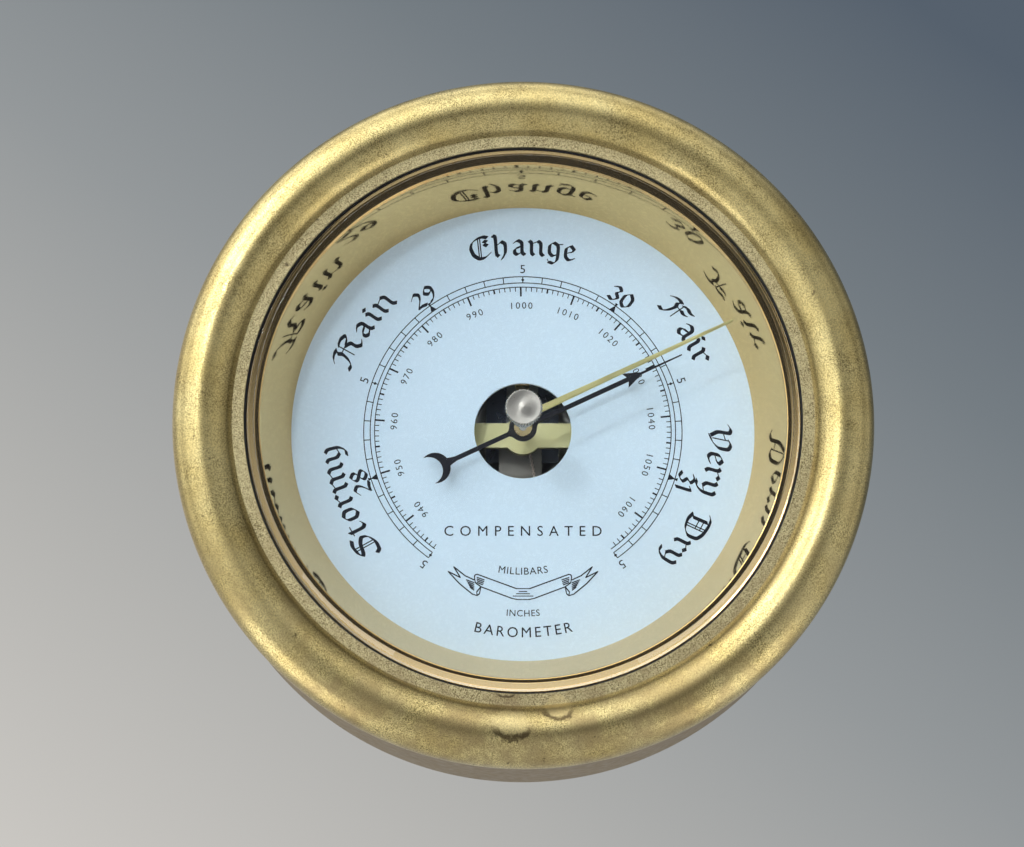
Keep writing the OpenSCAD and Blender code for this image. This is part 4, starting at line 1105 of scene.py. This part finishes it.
def build_camera():
    """Camera on a line through the dial's middle, turned a little so that the object sits as in the photo."""
    tilt, turn = math.radians(CAMERA_TILT), math.radians(CAMERA_TURN)
    centre = place(0, 0, DIAL_TOP)
    out = Vector((math.sin(turn) * math.cos(tilt), -math.cos(turn) * math.cos(tilt), -math.sin(tilt)))
    right = Vector((math.cos(turn), math.sin(turn), 0))
    up = right.cross(-out)
    camera = bpy.data.objects.new("camera", bpy.data.cameras.new("camera"))
    bpy.context.scene.collection.objects.link(camera)
    camera.location = centre + out * CAMERA_DISTANCE * MM
    target = centre + right * CAMERA_AIM[0] * MM + up * CAMERA_AIM[1] * MM
    camera.rotation_euler = (target - camera.location).to_track_quat("-Z", "Y").to_euler()
    camera.data.lens = CAMERA_LENS
    camera.data.sensor_width = 36
    camera.data.clip_start = 0.01
    bpy.context.scene.camera = camera


def towards(off_axis, around):
    """Direction by its angle off the dial's axis and its angle round it from the top."""
    tilt, turn = math.radians(off_axis), math.radians(around)
    return Vector((math.sin(tilt) * math.sin(turn), -math.cos(tilt), math.sin(tilt) * math.cos(turn)))


def lamp(name, kind, power, colour):
    """A lamp and the object that holds it."""
    light = bpy.data.lights.new(name, kind)
    light.energy = power
    light.color = colour
    holder = bpy.data.objects.new(name, light)
    bpy.context.scene.collection.objects.link(holder)
    return light, holder


def softbox(name, off_axis, around, distance, size, power):
    """Broad lamp that faces the dial."""
    away = towards(off_axis, around)
    turn = math.radians(around)
    side = Vector((math.cos(turn), 0, -math.sin(turn)))
    light, holder = lamp(name, "AREA", power, (1.0, 0.98, 0.95))
    light.shape = "RECTANGLE"
    light.size, light.size_y = size
    holder.matrix_world = Matrix((side, away.cross(side), away)).transposed().to_4x4()
    holder.location = away * distance


def dial_spot():
    """Narrow soft lamp that lights the dial and little of the bezel."""
    away = towards(*SPOT_PLACE)
    light, holder = lamp("dial_spot", "SPOT", SPOT_POWER, (0.93, 0.97, 1.0))
    light.spot_size = 2 * math.atan(SPOT_RADIUS / SPOT_DISTANCE)
    light.spot_blend = 0.35
    light.shadow_soft_size = 0.12
    holder.rotation_euler = away.to_track_quat("Z", "Y").to_euler()
    holder.location = away * SPOT_DISTANCE


def build_world():
    """Soft studio surround: calm in front, brightest in a ring round it, in a few broad patches."""
    world = bpy.data.worlds.new("studio")
    bpy.context.scene.world = world
    world.use_nodes = True
    world.node_tree.nodes.clear()
    w = Nodes(world.node_tree)
    way = w.node("ShaderNodeTexCoord", "Generated")
    x, y, z = (w.node("ShaderNodeSeparateXYZ", axis, Vector=way) for axis in "XYZ")
    from_front = w.calc("DIVIDE", w.calc("ARCCOSINE", w.calc("MULTIPLY", y, -1.0)), math.pi)
    round_axis = w.calc("ADD", w.calc("DIVIDE", w.calc("ARCTAN2", x, z), 2 * math.pi), 0.5)
    depth = w.ramp(from_front, (0.09, MIRROR_LIGHT), (0.15, FRONT_LIGHT), (0.22, RING_LIGHT),
                   (0.36, RING_LIGHT), (0.44, SIDE_LIGHT), (0.56, RING_LIGHT), (0.66, BACK_LIGHT),
                   (1.0, BACK_LIGHT), ease="EASE")
    patches = w.ramp(round_axis, *((k / 8, bright) for k, bright in enumerate(PATCHES)), ease="EASE")
    # The patches fade out towards the front, where the glass would mirror them
    share = w.ramp(from_front, (0.06, 0.0), (0.2, 1.0), ease="EASE")
    light = w.node("ShaderNodeBackground", Color=w.mix(share, depth, patches, "MULTIPLY"))
    w.node("ShaderNodeOutputWorld", None, Surface=light)


def stage_sheet(name, corners, finish):
    """One flat sheet of the stage."""
    mesh = bpy.data.meshes.new(name)
    mesh.from_pydata(corners, [], [tuple(range(len(corners)))])
    mesh.materials.append(finish)
    sheet = bpy.data.objects.new(name, mesh)
    bpy.context.scene.collection.objects.link(sheet)


def build_stage():
    """Pale floor below, and a backdrop well behind that glows in a painted gradient of light."""
    f = Finish("floor_pale", Roughness=0.8)
    f.use(Base_Color=f.mix(f.noise(3, 2), (0.62, 0.63, 0.65), (0.66, 0.67, 0.69)))
    left = front = -STAGE_HALF
    right = high = STAGE_HALF
    back, low = BACKDROP_Y, FLOOR_Z
    stage_sheet("floor", [(left, front, low), (right, front, low), (right, back, low), (left, back, low)],
                f.material)
    f = Finish("backdrop_painted_glow")
    # The backdrop glows: a painted gradient of light, brightest at the lower left and darkest at the upper
    # right
    across = f.calc("ADD", f.calc("MULTIPLY", f.along("X"), 0.48), 0.23)
    slope = f.calc("ADD", across, f.calc("MULTIPLY", f.along("Z"), 0.66))
    tone = f.ramp(slope, (0.0, (0.604, 0.584, 0.552)), (0.25, (0.453, 0.450, 0.434)),
                  (0.5, (0.296, 0.314, 0.323)), (0.75, (0.178, 0.205, 0.226)), (1.0, (0.093, 0.119, 0.153)))
    glow = f.tree.nodes.new("ShaderNodeEmission")
    f.tree.links.new(tone, glow.inputs["Color"])
    f.tree.links.new(glow.outputs[0], f.tree.nodes["Material Output"].inputs["Surface"])
    stage_sheet("backdrop", [(left, back, low), (right, back, low), (right, back, high), (left, back, high)],
                f.material)


build_camera()
build_bezel()
build_drum()
build_reflector()
build_glass()
build_dial()
build_pointer()
build_set_hand()
build_scale()
build_words()
build_figures()
build_type()
build_ribbon()
build_knob()
build_stack()
build_chain()
build_mainspring()
build_world()
dial_spot()
for name, settings in SOFTBOXES.items():
    softbox(name, *settings)
build_stage()
bpy.context.scene.view_settings.view_transform = "Standard"
